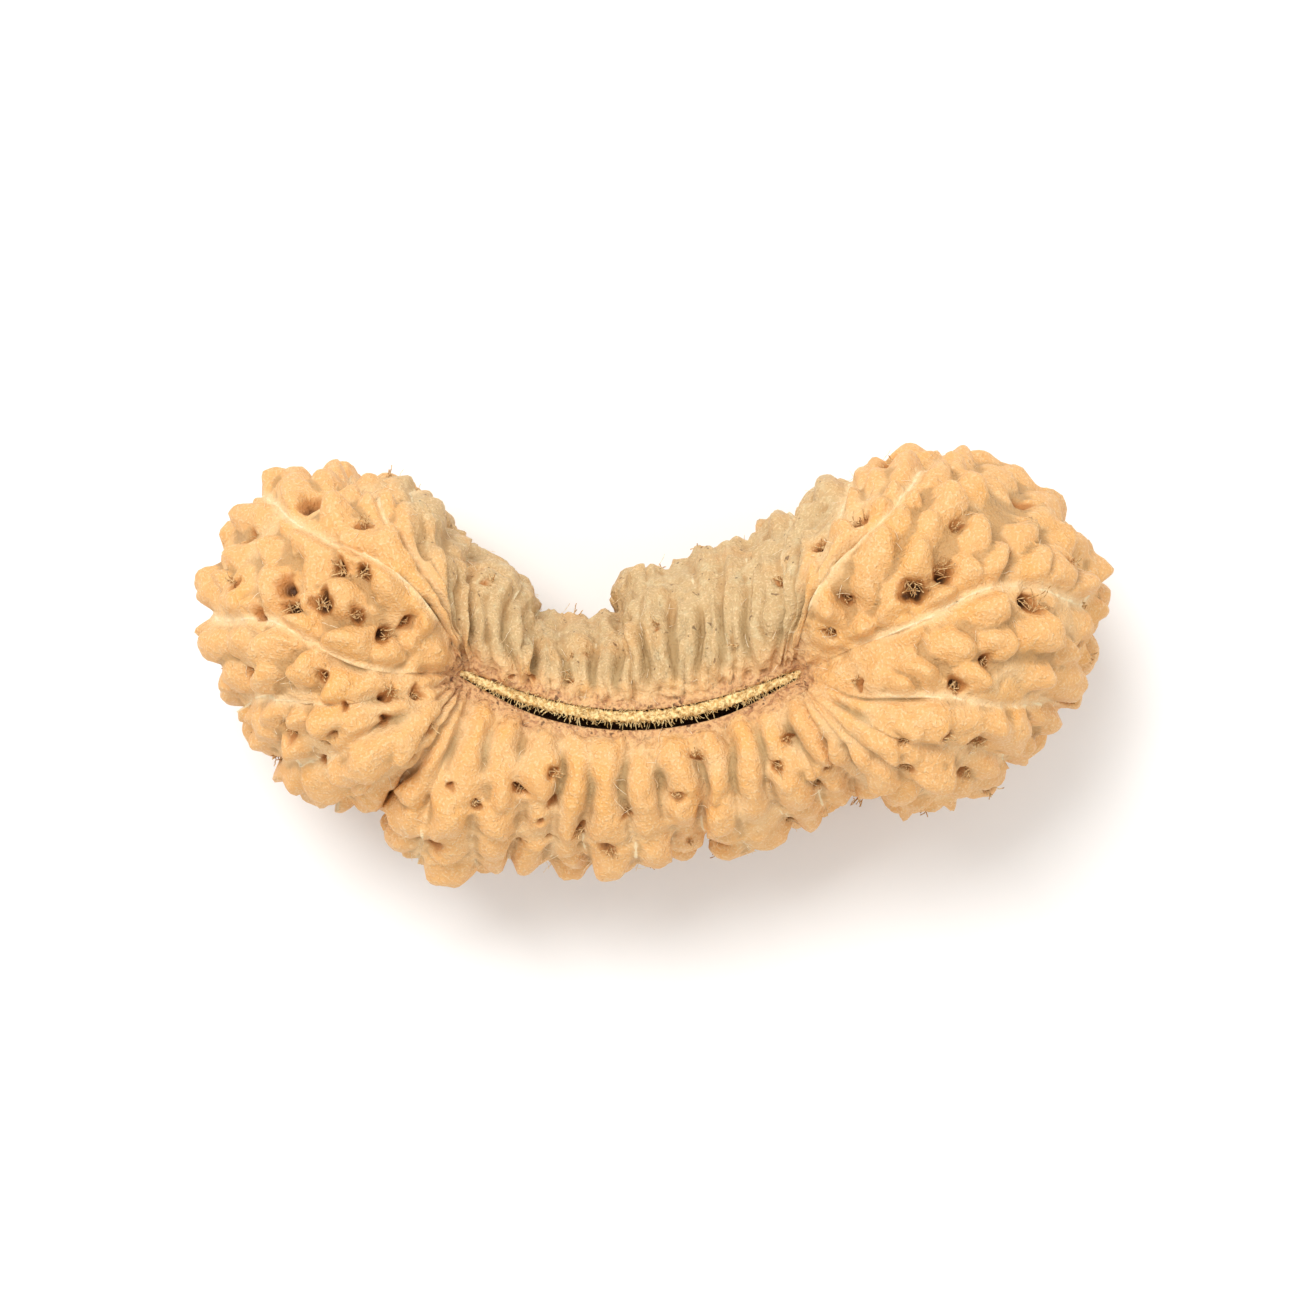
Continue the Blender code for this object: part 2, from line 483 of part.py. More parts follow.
def shell_material():
    """Dry honey-coloured seed stone."""
    material = bpy.data.materials.new("dried_seed_stone")
    material.use_nodes = True
    shader = material.node_tree.nodes["Principled BSDF"]
    shader.inputs["Base Color"].default_value = (0.72, 0.44, 0.2, 1.0)
    shader.inputs["Roughness"].default_value = 0.55
    return material


def main():
    """Build the bead and the hidden block that wears its two flat spots."""
    for item in list(bpy.data.objects):
        bpy.data.objects.remove(item, do_unlink=True)
    noise.seed_set(SEED)
    bead = bpy.data.objects.new("bead", bead_mesh())
    bpy.context.scene.collection.objects.link(bead)
    bead.data.materials.append(shell_material())
    body = bead.modifiers.new("one_body", "REMESH")
    body.mode = "VOXEL"
    body.voxel_size = GRAIN_OF_BODY * MM
    body.use_smooth_shade = True
    whole = bead.evaluated_get(bpy.context.evaluated_depsgraph_get()).to_mesh()
    thin = bead.modifiers.new("facets", "DECIMATE")
    thin.ratio = TRIANGLES / sum(len(face.vertices) - 2 for face in whole.polygons)
    ground = bpy.data.meshes.new("ground_cut")
    work = bmesh.new()
    bmesh.ops.create_cube(work, size=1.0)
    for vertex in work.verts:
        vertex.co.x *= 80 * MM
        vertex.co.y *= 60 * MM
        vertex.co.z = (vertex.co.z - 0.5) * 10 * MM
    work.to_mesh(ground)
    work.free()
    cutter = bpy.data.objects.new("ground_cut", ground)
    bpy.context.scene.collection.objects.link(cutter)
    cutter.hide_render = True
    cutter.display_type = "WIRE"
    worn = bead.modifiers.new("worn_spots", "BOOLEAN")
    worn.object = cutter
    worn.operation = "DIFFERENCE"
    worn.solver = "EXACT"


main()
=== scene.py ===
"""A dried rudraksha bead: a knobbly seed stone with a fibrous stem slit, on a pale studio floor.

The seed stone is grown by one rule: grown lines fan out from the stem slit, knobs rise between
them and pits sink between the knobs. Fibres fill the slit and the pits and lie in the valleys.
Sizes are in millimetres until a mesh is made.
"""

import logging
import math
from collections.abc import Sequence
from dataclasses import dataclass, field
from enum import Enum
from functools import partial

import bmesh
import bpy
import numpy as np
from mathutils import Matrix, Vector, kdtree, noise

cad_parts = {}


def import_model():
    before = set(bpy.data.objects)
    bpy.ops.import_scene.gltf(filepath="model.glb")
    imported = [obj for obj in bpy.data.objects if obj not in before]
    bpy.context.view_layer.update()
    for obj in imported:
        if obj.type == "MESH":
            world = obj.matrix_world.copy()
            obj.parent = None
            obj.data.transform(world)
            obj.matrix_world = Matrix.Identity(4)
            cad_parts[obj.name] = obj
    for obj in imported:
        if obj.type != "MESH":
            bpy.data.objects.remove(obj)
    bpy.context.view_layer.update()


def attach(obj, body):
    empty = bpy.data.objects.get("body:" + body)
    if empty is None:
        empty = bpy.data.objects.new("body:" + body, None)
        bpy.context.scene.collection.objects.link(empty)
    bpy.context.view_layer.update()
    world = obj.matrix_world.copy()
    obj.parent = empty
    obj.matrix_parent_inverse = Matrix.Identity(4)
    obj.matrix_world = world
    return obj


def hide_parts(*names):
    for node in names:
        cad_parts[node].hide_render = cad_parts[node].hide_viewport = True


LOG = logging.getLogger("rudraksha")
MM = 0.001
BODY = "root"
NODE = "bead"
SOFT_STEP = {"interpolation_type": "SMOOTHSTEP"}
BLEND = {"data_type": "RGBA"}
TIMES = {"operation": "MULTIPLY"}

# Rounding allowed where a grid column stands on a grown line.
ON_LINE = 1e-6

# Each grown line: seat along the slit (-1 left end, 1 right end), heading at the slit, heading at
# the girth, reach to the girth, crown above and below mid-height, level of the girth.
LINES = (
    (1.00, 24, 19, 14.5, 10.0, 9.9, 0.0),
    (1.00, 88, 54, 12.3, 9.8, 9.7, 0.0),
    (0.95, 92, 69, 10.2, 8.6, 8.6, -0.4),
    (0.88, 92, 84, 7.9, 7.4, 7.6, -1.2),
    (0.72, 92, 91, 7.2, 6.5, 7.0, -1.9),
    (0.56, 92, 92, 7.3, 6.2, 6.8, -2.2),
    (0.41, 92, 92, 7.3, 6.0, 6.6, -2.4),
    (0.27, 92, 92, 7.0, 5.9, 6.5, -2.5),
    (0.10, 92, 92, 7.0, 5.9, 6.4, -2.5),
    (-0.06, 92, 92, 4.9, 5.8, 6.3, -2.3),
    (-0.22, 92, 92, 4.6, 5.7, 6.2, -2.0),
    (-0.40, 92, 92, 4.5, 5.7, 6.2, -1.9),
    (-0.56, 92, 92, 4.3, 5.8, 6.3, -1.7),
    (-0.69, 92, 93, 5.9, 6.2, 6.7, -1.4),
    (-0.93, 95, 97, 6.1, 6.8, 7.2, -1.0),
    (-1.00, 97, 106, 8.8, 7.8, 8.0, -0.5),
    (-1.00, 100, 121, 10.4, 8.8, 8.8, -0.1),
    (-1.00, 104, 143, 12.6, 9.5, 9.6, 0.0),
    (-1.00, 176, 167, 12.2, 9.6, 9.9, 0.0),
    (-1.00, 206, 185, 10.5, 9.5, 9.8, 0.0),
    (-1.00, 226, 204, 9.5, 9.1, 9.2, 0.0),
    (-1.00, 247, 224, 8.2, 8.3, 8.3, -0.1),
    (-0.98, 249, 235, 6.8, 7.4, 7.5, -0.3),
    (-0.93, 251, 251, 8.8, 6.9, 7.1, -0.4),
    (-0.77, 258, 258, 8.3, 6.6, 6.9, -0.5),
    (-0.60, 262, 262, 7.2, 6.4, 6.8, -0.5),
    (-0.42, 267, 267, 6.9, 6.3, 6.7, -0.5),
    (-0.24, 269, 269, 6.6, 6.2, 6.6, -0.5),
    (-0.03, 273, 273, 6.8, 6.2, 6.6, -0.5),
    (0.14, 276, 276, 6.1, 6.2, 6.6, -0.5),
    (0.33, 281, 281, 5.4, 6.3, 6.7, -0.5),
    (0.52, 284, 284, 6.7, 6.4, 6.8, -0.5),
    (0.70, 287, 287, 6.2, 6.7, 7.0, -0.5),
    (0.88, 291, 291, 6.1, 7.0, 7.3, -0.4),
    (1.00, 292, 298, 6.1, 7.6, 7.9, -0.3),
    (1.00, 294, 309, 7.4, 8.5, 8.6, -0.1),
    (1.00, 304, 323, 9.3, 9.2, 9.3, 0.0),
    (1.00, 322, 338, 10.5, 9.8, 9.8, 0.0),
    (1.00, 340, 354, 12.1, 10.0, 9.9, 0.0),
)
COUNT = len(LINES)

# Knobs on top of the two lobes: plan place as seen from above, and radius.
KNOB_PLACES = (
    (10.3, 9.5, 0.8), (12.2, 9.8, 0.85), (13.9, 9.2, 0.9), (15.3, 9.8, 0.85), (17.0, 9.1, 1.05),
    (14.8, 8.4, 0.85), (10.7, 8.6, 0.9), (11.7, 8.0, 0.8), (9.2, 7.9, 0.85), (7.4, 7.3, 0.9),
    (6.1, 6.7, 0.85), (8.8, 6.5, 0.8), (7.0, 6.1, 0.7), (13.6, 7.4, 1.1), (12.7, 6.6, 0.8),
    (10.6, 5.6, 1.1), (12.1, 4.9, 1.1), (10.0, 4.2, 0.8), (14.9, 6.1, 1.05), (15.8, 5.0, 1.0),
    (14.4, 4.4, 0.8), (17.3, 6.4, 0.9), (18.8, 5.8, 1.0), (20.3, 5.7, 0.7), (21.1, 4.2, 0.85),
    (19.8, 3.9, 0.9), (17.7, 4.9, 0.9), (13.4, 3.4, 0.95), (11.2, 3.3, 1.0), (8.0, 2.3, 1.0),
    (7.1, 1.0, 1.0), (8.6, 0.1, 1.0), (12.4, 0.1, 0.95), (14.1, 1.1, 0.9), (15.7, 3.0, 1.0),
    (17.9, 1.9, 1.15), (16.0, 1.3, 0.9), (21.1, 2.7, 0.7), (11.5, -0.6, 0.8), (10.1, -0.4, 0.8),
    (15.1, -0.2, 0.75), (18.0, -0.3, 0.8), (19.9, -0.9, 0.65), (18.9, -2.2, 0.8), (11.7, -2.4, 1.0),
    (13.1, -2.6, 0.8), (15.9, -2.4, 1.0), (9.8, -2.4, 0.8), (12.9, -4.7, 1.1), (15.7, -4.8, 0.8),
    (15.8, -5.7, 0.8), (17.1, -4.8, 0.65), (11.6, -6.2, 0.95), (13.1, -6.7, 0.7), (14.2, -6.5, 0.7),
    (9.8, -5.7, 0.7), (8.6, -5.1, 0.7), (7.4, -4.5, 0.7), (8.0, -6.4, 0.75), (19.1, 0.9, 0.8),
    (20.4, 0.5, 0.75), (11.7, 1.8, 0.9), (9.8, 1.8, 0.9), (17.7, -2.0, 0.7), (-18.4, 8.5, 0.85),
    (-16.9, 8.8, 1.0), (-16.8, 7.5, 0.8), (-15.3, 8.4, 0.9), (-14.2, 8.7, 0.8), (-13.1, 8.6, 0.9),
    (-12.0, 8.1, 0.8), (-18.7, 7.1, 0.9), (-17.1, 6.8, 0.75), (-14.8, 7.3, 0.95), (-12.9, 7.4, 1.0),
    (-11.7, 6.4, 0.95), (-9.9, 7.0, 0.9), (-9.3, 6.1, 0.8), (-8.6, 5.5, 0.75), (-12.4, 5.8, 1.0),
    (-19.9, 6.5, 0.8), (-16.0, 6.0, 1.0), (-14.2, 5.4, 0.9), (-13.3, 5.1, 0.85), (-17.9, 5.4, 0.8),
    (-19.2, 5.4, 0.85), (-21.0, 3.6, 0.85), (-19.9, 4.0, 0.7), (-18.8, 2.7, 0.85),
    (-21.0, 1.8, 0.8), (-16.9, 1.7, 1.0), (-16.0, 3.2, 0.8), (-14.5, 3.3, 1.0), (-12.4, 3.9, 1.05),
    (-11.0, 3.4, 0.9), (-10.1, 4.7, 1.1), (-10.1, 2.7, 1.0), (-14.2, 1.3, 1.05), (-12.7, 0.7, 0.85),
    (-11.1, 1.1, 1.0), (-17.8, 0.9, 0.95), (-15.9, 0.3, 1.0), (-19.6, -0.3, 0.75),
    (-17.9, -0.3, 0.85), (-14.5, -0.6, 0.9), (-13.2, -0.5, 0.85), (-11.5, -0.4, 0.9),
    (-16.5, -2.1, 0.8), (-17.7, -1.8, 0.8), (-19.0, -2.0, 0.7), (-15.3, -2.4, 0.9),
    (-13.8, -2.1, 0.8), (-11.7, -2.0, 0.9), (-9.1, -2.1, 1.0), (-10.1, -3.1, 0.9),
    (-11.8, -3.7, 0.9), (-14.4, -4.4, 0.95), (-13.4, -5.1, 0.8), (-14.8, -6.1, 0.85),
    (-15.7, -6.4, 0.75), (-16.9, -5.6, 0.85), (-18.0, -4.8, 0.75), (-18.1, -3.1, 0.8),
    (-16.8, -3.4, 0.8), (-9.0, 1.6, 0.9), (-8.7, 3.3, 0.9),
)

# Pits on the upper side: plan place and radius.
PIT_PLACES = (
    (12.1, 3.7, 0.5), (13.4, 4.6, 0.42), (9.5, 7.1, 0.42), (7.6, 5.9, 0.38), (9.1, 3.2, 0.3),
    (8.3, 1.9, 0.25), (5.8, 4.3, 0.2), (17.7, 3.0, 0.5), (20.4, 2.8, 0.35), (14.3, -0.7, 0.35),
    (15.5, 0.1, 0.3), (9.5, -0.5, 0.25), (17.2, 7.7, 0.35), (16.4, 5.7, 0.3), (13.4, -2.9, 0.3),
    (15.2, -3.3, 0.35), (11.8, -4.5, 0.3), (13.8, -5.8, 0.25), (16.6, -3.6, 0.2),
    (19.1, -1.1, 0.25), (14.5, -4.7, 0.25), (19.7, 1.0, 0.25), (6.2, -3.3, 0.22), (5.8, -4.4, 0.25),
    (7.7, -5.3, 0.25), (8.2, -4.3, 0.2), (14.0, 6.4, 0.25), (11.6, -3.2, 0.2), (18.9, 4.9, 0.2),
    (-13.5, 6.7, 0.3), (-15.9, 7.8, 0.4), (-18.9, 6.1, 0.3), (-19.3, 3.9, 0.22), (-18.3, 2.6, 0.3),
    (-17.0, 4.0, 0.4), (-16.8, 2.9, 0.45), (-15.3, 3.0, 0.4), (-14.4, 4.7, 0.42),
    (-13.3, 4.5, 0.38), (-13.8, 2.4, 0.32), (-11.6, 2.3, 0.28), (-12.5, 1.6, 0.36),
    (-18.6, 0.6, 0.25), (-18.8, -0.4, 0.32), (-15.3, -0.2, 0.28), (-12.4, -1.0, 0.34),
    (-11.1, -1.1, 0.25), (-14.4, -1.6, 0.2), (-12.6, -2.4, 0.3), (-16.9, -2.7, 0.35),
    (-15.3, -3.3, 0.28), (-17.5, -4.0, 0.25), (-15.4, -4.5, 0.3), (-16.7, -4.9, 0.3),
    (-11.4, -4.0, 0.25), (-10.5, -2.7, 0.3), (-9.7, -5.2, 0.22), (-10.6, -8.0, 0.4),
    (-12.9, -6.7, 0.3), (-9.6, 6.4, 0.2), (-8.0, 3.7, 0.15), (-14.7, -2.8, 0.2), (-8.4, -6.1, 0.25),
    (-4.6, -4.7, 0.27), (-6.3, -5.6, 0.27), (-4.8, -6.3, 0.2), (-5.3, -6.9, 0.22),
    (-3.4, -7.6, 0.24), (-6.4, -8.0, 0.2), (-2.1, -8.1, 0.28), (-1.2, -6.9, 0.22),
    (2.0, -3.9, 0.24), (1.5, -7.7, 0.18), (1.1, -5.6, 0.2), (6.3, -7.0, 0.22), (-3.3, 0.7, 0.18),
    (0.1, 1.9, 0.2), (-3.9, 0.7, 0.12), (-5.7, -0.6, 0.2), (-6.8, -0.4, 0.18), (-3.9, -0.3, 0.2),
    (3.9, 1.1, 0.12), (-5.0, -7.9, 0.15),
)


class Side(Enum):
    """The two ends of the stem axis."""

    UPPER = 1
    LOWER = -1


def smooth(x: np.ndarray) -> np.ndarray:
    """A soft step from 0 at x = 0 to 1 at x = 1."""
    x = np.clip(x, 0.0, 1.0)
    return x * x * (3.0 - 2.0 * x)


def unit(vectors: np.ndarray) -> np.ndarray:
    """Vectors scaled to length one."""
    return vectors / np.maximum(np.linalg.norm(vectors, axis=-1, keepdims=True), 1e-12)


def drift(points: np.ndarray, scale: float, shift: float) -> np.ndarray:
    """Smooth noise in three directions.

    Args:
        points: Places in millimetres, last axis XYZ.
        scale: Wavelength in millimetres.
        shift: Which part of the noise is read.

    Returns:
        An array shaped like points, each value roughly within -1 to 1.
    """
    offset = np.array((shift, 2.0 * shift, -shift))
    flat = (points.reshape(-1, 3) / scale + offset).tolist()
    read = noise.noise_vector
    return np.array([read(p) for p in flat]).reshape(points.shape)


def linear(hex_colour: str) -> tuple[float, float, float, float]:
    """An sRGB hex colour as linear RGBA.

    Args:
        hex_colour: Like #E0B47A.

    Returns:
        Red, green, blue and alpha, each 0 to 1.
    """
    parts = [int(hex_colour[i : i + 2], 16) / 255 for i in (1, 3, 5)]
    bent = [c / 12.92 if c <= 0.04045 else ((c + 0.055) / 1.055) ** 2.4 for c in parts]
    return (bent[0], bent[1], bent[2], 1.0)


@dataclass(frozen=True)
class Stone:
    """The smooth seed stone, swept round its stem slit."""

    # The slit in plan, and its lips' level above mid-height and half distance apart.
    slit_middle: tuple[float, float] = (-1.08, -2.33)
    slit_half_length: float = 7.64
    slit_bow: float = 2.1
    slit_height: float = 5.3
    lip_half_width: float = 0.50
    lip_end_width: float = 0.24
    # How far the grown lines wander, as a share of a segment.
    wander_share: float = 0.11
    # The row frame's origin in the slit's own frame.
    box_middle: tuple[float, float] = (0.02, 0.26)
    rest_level: float = -9.97

    def along_lines(self, column: int, u: np.ndarray, turn: float = 0.0) -> np.ndarray:
        """A value listed per grown line, carried smoothly round the bead.

        Args:
            column: Which value of LINES.
            u: Line numbers, whole or between lines.
            turn: The gain per round, 360 for headings.

        Returns:
            The value at each u.
        """
        keys = np.array([line[column] for line in LINES], float)
        keys = keys - turn * np.arange(COUNT) / COUNT
        if turn:
            keys = np.where(keys - keys[0] > turn / 2, keys - turn, keys)
        after = np.roll(keys, -1) - keys
        before = np.roll(after, 1)
        both = before + after
        same = (before * after > 0) & (np.abs(both) > 1e-9)
        slope = np.where(same, 2 * before * after / np.where(same, both, 1.0), 0.0)
        cell = np.floor(u).astype(int)
        t = u - cell
        i, j = cell % COUNT, (cell + 1) % COUNT
        value = keys[i] * (2 * t**3 - 3 * t**2 + 1) + slope[i] * (t**3 - 2 * t**2 + t)
        value = value + keys[j] * (3 * t**2 - 2 * t**3) + slope[j] * (t**3 - t**2)
        return value + turn * u / COUNT

    def seat(self, u: np.ndarray) -> np.ndarray:
        """Where each line leaves the slit, from -1 to 1."""
        return np.clip(self.along_lines(0, u), -1, 1)

    def slit_point(self, seat: np.ndarray) -> np.ndarray:
        """Plan position of a seat on the slit.

        Args:
            seat: -1 at the slit's left end, 1 at its right end.

        Returns:
            X and Y in millimetres, last axis XY.
        """
        x = self.slit_middle[0] + self.slit_half_length * seat
        y = self.slit_middle[1] + self.slit_bow * seat**2
        return np.stack([x, y], -1)

    def heading(self, column: int, u: np.ndarray) -> np.ndarray:
        """Unit plan vector of a line's heading."""
        angle = np.radians(self.along_lines(column, u, 360.0))
        return np.stack([np.cos(angle), np.sin(angle)], -1)

    def lip_width(self, u: np.ndarray) -> np.ndarray:
        """Half the width between the slit's lips, narrowing to its ends.

        Args:
            u: Line numbers.

        Returns:
            The half width at each u, in millimetres.
        """
        seat = np.abs(self.seat(u))
        belly = self.heading(1, u)[..., 1] < 0
        share = np.where(belly, smooth((0.98 - seat) / 0.5), 1 - seat**6)
        return self.lip_end_width + (self.lip_half_width - self.lip_end_width) * share

    def wander(self, u: np.ndarray, v: np.ndarray) -> np.ndarray:
        """Sideways wander of the grown lines, dying out at the slits.

        Args:
            u: Line numbers.
            v: 0 at the upper lip, 1 at the lower lip.

        Returns:
            The shift in line numbers.
        """
        turn = 2 * math.pi / COUNT
        wave = np.sin(11.0 * v + 9 * turn * u) + 0.7 * np.sin(23.0 * v - 14 * turn * u + 1.3)
        return self.wander_share * wave * smooth(np.minimum(v, 1 - v) / 0.12)

    def plan(self, u: np.ndarray, run: np.ndarray) -> np.ndarray:
        """Plan position along a grown line.

        Args:
            u: Line numbers.
            run: 0 at the slit, 1 at the girth.

        Returns:
            X and Y in millimetres, last axis XY.
        """
        foot = self.slit_point(self.seat(u))
        reach = self.along_lines(3, u)[..., None]
        lip = self.lip_width(u)[..., None]
        run = run[..., None] * (1 - lip / reach) + lip / reach
        bend = self.heading(1, u) * reach * run * (1 - run)
        return foot + bend + self.heading(2, u) * reach * run**2

    def point(self, u: np.ndarray, v: np.ndarray) -> np.ndarray:
        """Surface points.

        Args:
            u: Line numbers.
            v: 0 at the upper lip, 0.5 at the girth, 1 at the lower lip.

        Returns:
            Points in millimetres, last axis XYZ, with Z = 0 at mid-height.
        """
        u = u + self.wander(u, v)
        girth = self.along_lines(6, u)
        upper = v < 0.5
        crown = np.where(upper, self.along_lines(4, u) - girth, self.along_lines(5, u) + girth)
        edge = np.where(upper, self.slit_height - girth, self.slit_height + girth)
        rise = np.clip(edge / crown, -0.98, 0.985)
        angle = (math.pi - np.arcsin(rise)) * np.abs(1 - 2 * v)
        inset = np.sqrt(1 - rise**2)
        run = (inset + np.cos(angle)) / (1 + inset)
        level = girth + np.where(upper, 1, -1) * crown * np.sin(angle)
        return np.concatenate([self.plan(u, run), level[..., None]], -1)

    def frames(self, u: np.ndarray, v: np.ndarray) -> tuple[np.ndarray, np.ndarray, np.ndarray]:
        """The three directions of the surface.

        Args:
            u: Line numbers.
            v: 0 at the upper lip, 1 at the lower lip.

        Returns:
            Unit vectors across the lines, down the lines and out of the stone.
        """
        du, dv = 0.02, 0.002
        across = self.point(u + du, v) - self.point(u - du, v)
        down = self.point(u, np.minimum(v + dv, 1)) - self.point(u, np.maximum(v - dv, 0))
        return unit(across), unit(down), unit(np.cross(down, across))

    def placed(self, points: np.ndarray) -> np.ndarray:
        """Millimetre points moved to the row frame, in metres."""
        middle = np.array([self.box_middle[0], self.box_middle[1], self.rest_level])
        return (points - middle) * MM


@dataclass(frozen=True)
class Ground:
    """A grid on the smooth stone, and where its points lie among the grown lines."""

    u: np.ndarray
    v: np.ndarray
    points: np.ndarray
    out: np.ndarray
    from_left: np.ndarray
    width: np.ndarray
    hollow_side: np.ndarray
    edge: np.ndarray
    patches: np.ndarray
    fine: np.ndarray

    @property
    def from_line(self) -> np.ndarray:
        """Distance to the nearer grown line."""
        return np.minimum(self.from_left, self.width - self.from_left)

    @property
    def rows(self) -> np.ndarray:
        """Share of the way down a line, from the nearer slit."""
        return np.minimum(self.v, 1 - self.v)

    @property
    def slim(self) -> np.ndarray:
        """1 on the waist's slim segments, 0 on the wide ones of the lobes."""
        return 1 - smooth((self.width - 2.6) / 1.0)

    @property
    def belly(self) -> np.ndarray:
        """1 on the slim segments of the bulging side."""
        return self.slim * (1 - self.hollow_side)

    @property
    def outer(self) -> np.ndarray:
        """1 towards the girth, 0 towards the slits."""
        return smooth((self.rows - 0.22) / 0.14)

    @property
    def furrowed(self) -> np.ndarray:
        """1 on slim segments a few millimetres from a slit, where the furrows lie."""
        return np.exp(-(((self.rows - 0.15) / 0.10) ** 2)) * (1 - smooth((self.width - 1.6) / 1.2))


@dataclass
class Relief:
    """Knobs, pits, grown lines and furrows over the smooth stone."""

    stone: Stone
    # How far the relief as a whole is let into the smooth stone, and how high the lips stand on it.
    sink: float = 0.20
    lip_lift: float = 0.05
    # A segment's height over its grown lines, and the width of its banks.
    plateau: float = 0.17
    valley_share: float = 0.38
    least_slope: float = 0.12
    widest_slope: float = 0.6
    # Knobs: distance along and across a segment, height, how crisply they meet, and their overhang.
    knob_pitch: float = 2.05
    knob_across: float = 2.15
    knob_height: float = 1.0
    knob_sharpness: float = 4.0
    lean: float = 0.24
    # Least distance between a drawn knob and a read one, and steps for measuring a segment.
    clearance: float = 1.3
    samples: int = 241
    # Share of the rows of knobs that have a pit beside them.
    pit_share: float = 0.5
    # Ribs on the waist, furrows between them, pleats on the hollow side, threads on the lines.
    rib: float = 0.46
    furrow: float = 0.2
    pleat: float = 0.36
    thread_height: float = 0.08
    thread_width: float = 0.06
    # How far the lobes' segments run into each other at their lines.
    lobe_merging: float = 0.38
    # Wander of the knobs' outlines, coarse and fine, and its wavelengths.
    warp: float = 0.36
    warp_scale: float = 1.35
    fine_warp: float = 0.08
    fine_warp_scale: float = 0.45
    # Fine relief: grain and ripple with their wavelengths, crumpled belly, strands, crumbly lips.
    grain: float = 0.09
    grain_scale: float = 0.9
    ripple: float = 0.11
    ripple_scale: float = 0.55
    crumple: float = 0.2
    strands: float = 0.26
    crumbs: float = 0.3
    # Height of the eye over the bead when the places on top were read.
    view_height: float = 300.0
    # The worn spots that the bead stands on: plan place and radius, and their depth.
    rest_spots: tuple[tuple[float, float, float], ...] = ((-14.0, -0.2, 2.8), (12.4, -0.2, 2.8))
    spot_depth: float = 0.3
    seed: int = 17
    knobs: np.ndarray = field(init=False)
    pits: np.ndarray = field(init=False)

    def __post_init__(self) -> None:
        """Seed the smooth noise, and draw the knobs and pits once."""
        noise.seed_set(self.seed)
        self.knobs, self.pits = self.place(np.random.default_rng(self.seed))

    def find(self, places: Sequence[tuple[float, float, float]]) -> list[tuple[float, float, float]]:
        """Line numbers and v of plan places on the upper side.

        Args:
            places: X, Y and radius of each place.

        Returns:
            u, v and radius of each place.
        """
        u, v = np.meshgrid(np.arange(0, COUNT, 0.05), np.linspace(0.02, 0.5, 97), indexing="ij")
        points = self.stone.point(u, v)
        seen = points[..., :2] * (1 + points[..., 2:] / self.view_height)
        found = []
        for x, y, radius in places:
            near = np.argmin(np.hypot(seen[..., 0] - x, seen[..., 1] - y))
            found.append((u.flat[near], v.flat[near], radius))
        return found

    def place(self, rng: np.random.Generator) -> tuple[np.ndarray, np.ndarray]:
        """Knobs and pits: those read on the upper side, then more along every segment.

        Args:
            rng: The seeded generator.

        Returns:
            Knobs as rows of u, v, half width, half length, height, and pits as rows of u, v,
            radius, depth.
        """
        knobs, pits = [], []
        for u, v, radius in self.find(KNOB_PLACES):
            height = self.knob_height * (0.35 + 0.72 * radius) * (0.9 + 0.25 * rng.random())
            knobs.append((u, v, 0.8 * radius, 0.95 * radius, height))
        for u, v, radius in self.find(PIT_PLACES):
            pits.append((u, v, radius, 1.9 * radius))
        start = np.array([knob[:2] for knob in knobs])
        taken = self.stone.point(start[:, 0], start[:, 1])
        for line in range(COUNT):
            self.fill_segment(line, taken, rng, knobs, pits)
        return np.array(knobs), np.array(pits)

    def fill_segment(
        self,
        line: int,
        taken: np.ndarray,
        rng: np.random.Generator,
        knobs: list[tuple[float, ...]],
        pits: list[tuple[float, ...]],
    ) -> None:
        """Draw rows of knobs, with pits between them, down one segment.

        Args:
            line: The grown line before the segment.
            taken: Centres of the knobs that were read.
            rng: The seeded generator.
            knobs: Rows of knobs, added to.
            pits: Rows of pits, added to.
        """
        v = np.linspace(0, 1, self.samples)
        middle, left, right = (
            self.stone.point(np.full(self.samples, line + share), v) for share in (0.5, 0.001, 0.999)
        )
        steps = np.linalg.norm(np.diff(middle, axis=0), axis=-1)
        length = np.concatenate([[0], np.cumsum(steps)])
        width = np.linalg.norm(left - middle, axis=-1) + np.linalg.norm(right - middle, axis=-1)
        reached = 0.9 + 3.2 * rng.random()
        row = 0
        while reached < length[-1] - 0.8:
            wide = np.interp(reached, length, width)
            number = max(1, int(round(wide / self.knob_across)))
            step = self.knob_pitch * (0.85 + 0.35 * rng.random()) * (1.0 if wide > 1.6 else 0.92)
            shift = 0.25 * (row % 2 - 0.5) * (number > 1)
            for spot in range(number):
                across = (spot + 0.5 + shift + 0.22 * (rng.random() - 0.5)) / number
                jitter = step * 0.5 * (rng.random() - 0.5) * (number > 1)
                here = np.interp(np.clip(reached + jitter, 0.6, length[-1] - 0.6), length, v)
                size = 0.38 + 0.92 * rng.random()
                half = 0.5 * wide / number * (0.9 + 0.2 * rng.random())
                at = self.stone.point(np.array(line + across), np.array(here))
                clear = here > 0.09 and np.linalg.norm(taken - at, axis=-1).min() > self.clearance
                if here > 0.47 or clear:
                    long = step * (0.47 if wide > 1.6 else 0.56) * (0.45 + 0.65 * size)
                    knobs.append((line + across, here, half, long, self.knob_height * size))
            if rng.random() < self.pit_share and wide > 1.1 and reached > 1.5:
                between = rng.integers(1, number) / number if number > 1 else 0.5
                here = np.interp(reached + 0.5 * step, length, v)
                radius = (0.24 + 0.22 * rng.random()) * np.clip(wide / 3.0, 0.62, 1.2)
                if here > 0.45:
                    across = line + between + 0.06 * (rng.random() - 0.5)
                    pits.append((across, here, 0.9 * radius, 1.8 * radius))
            reached += step
            row += 1

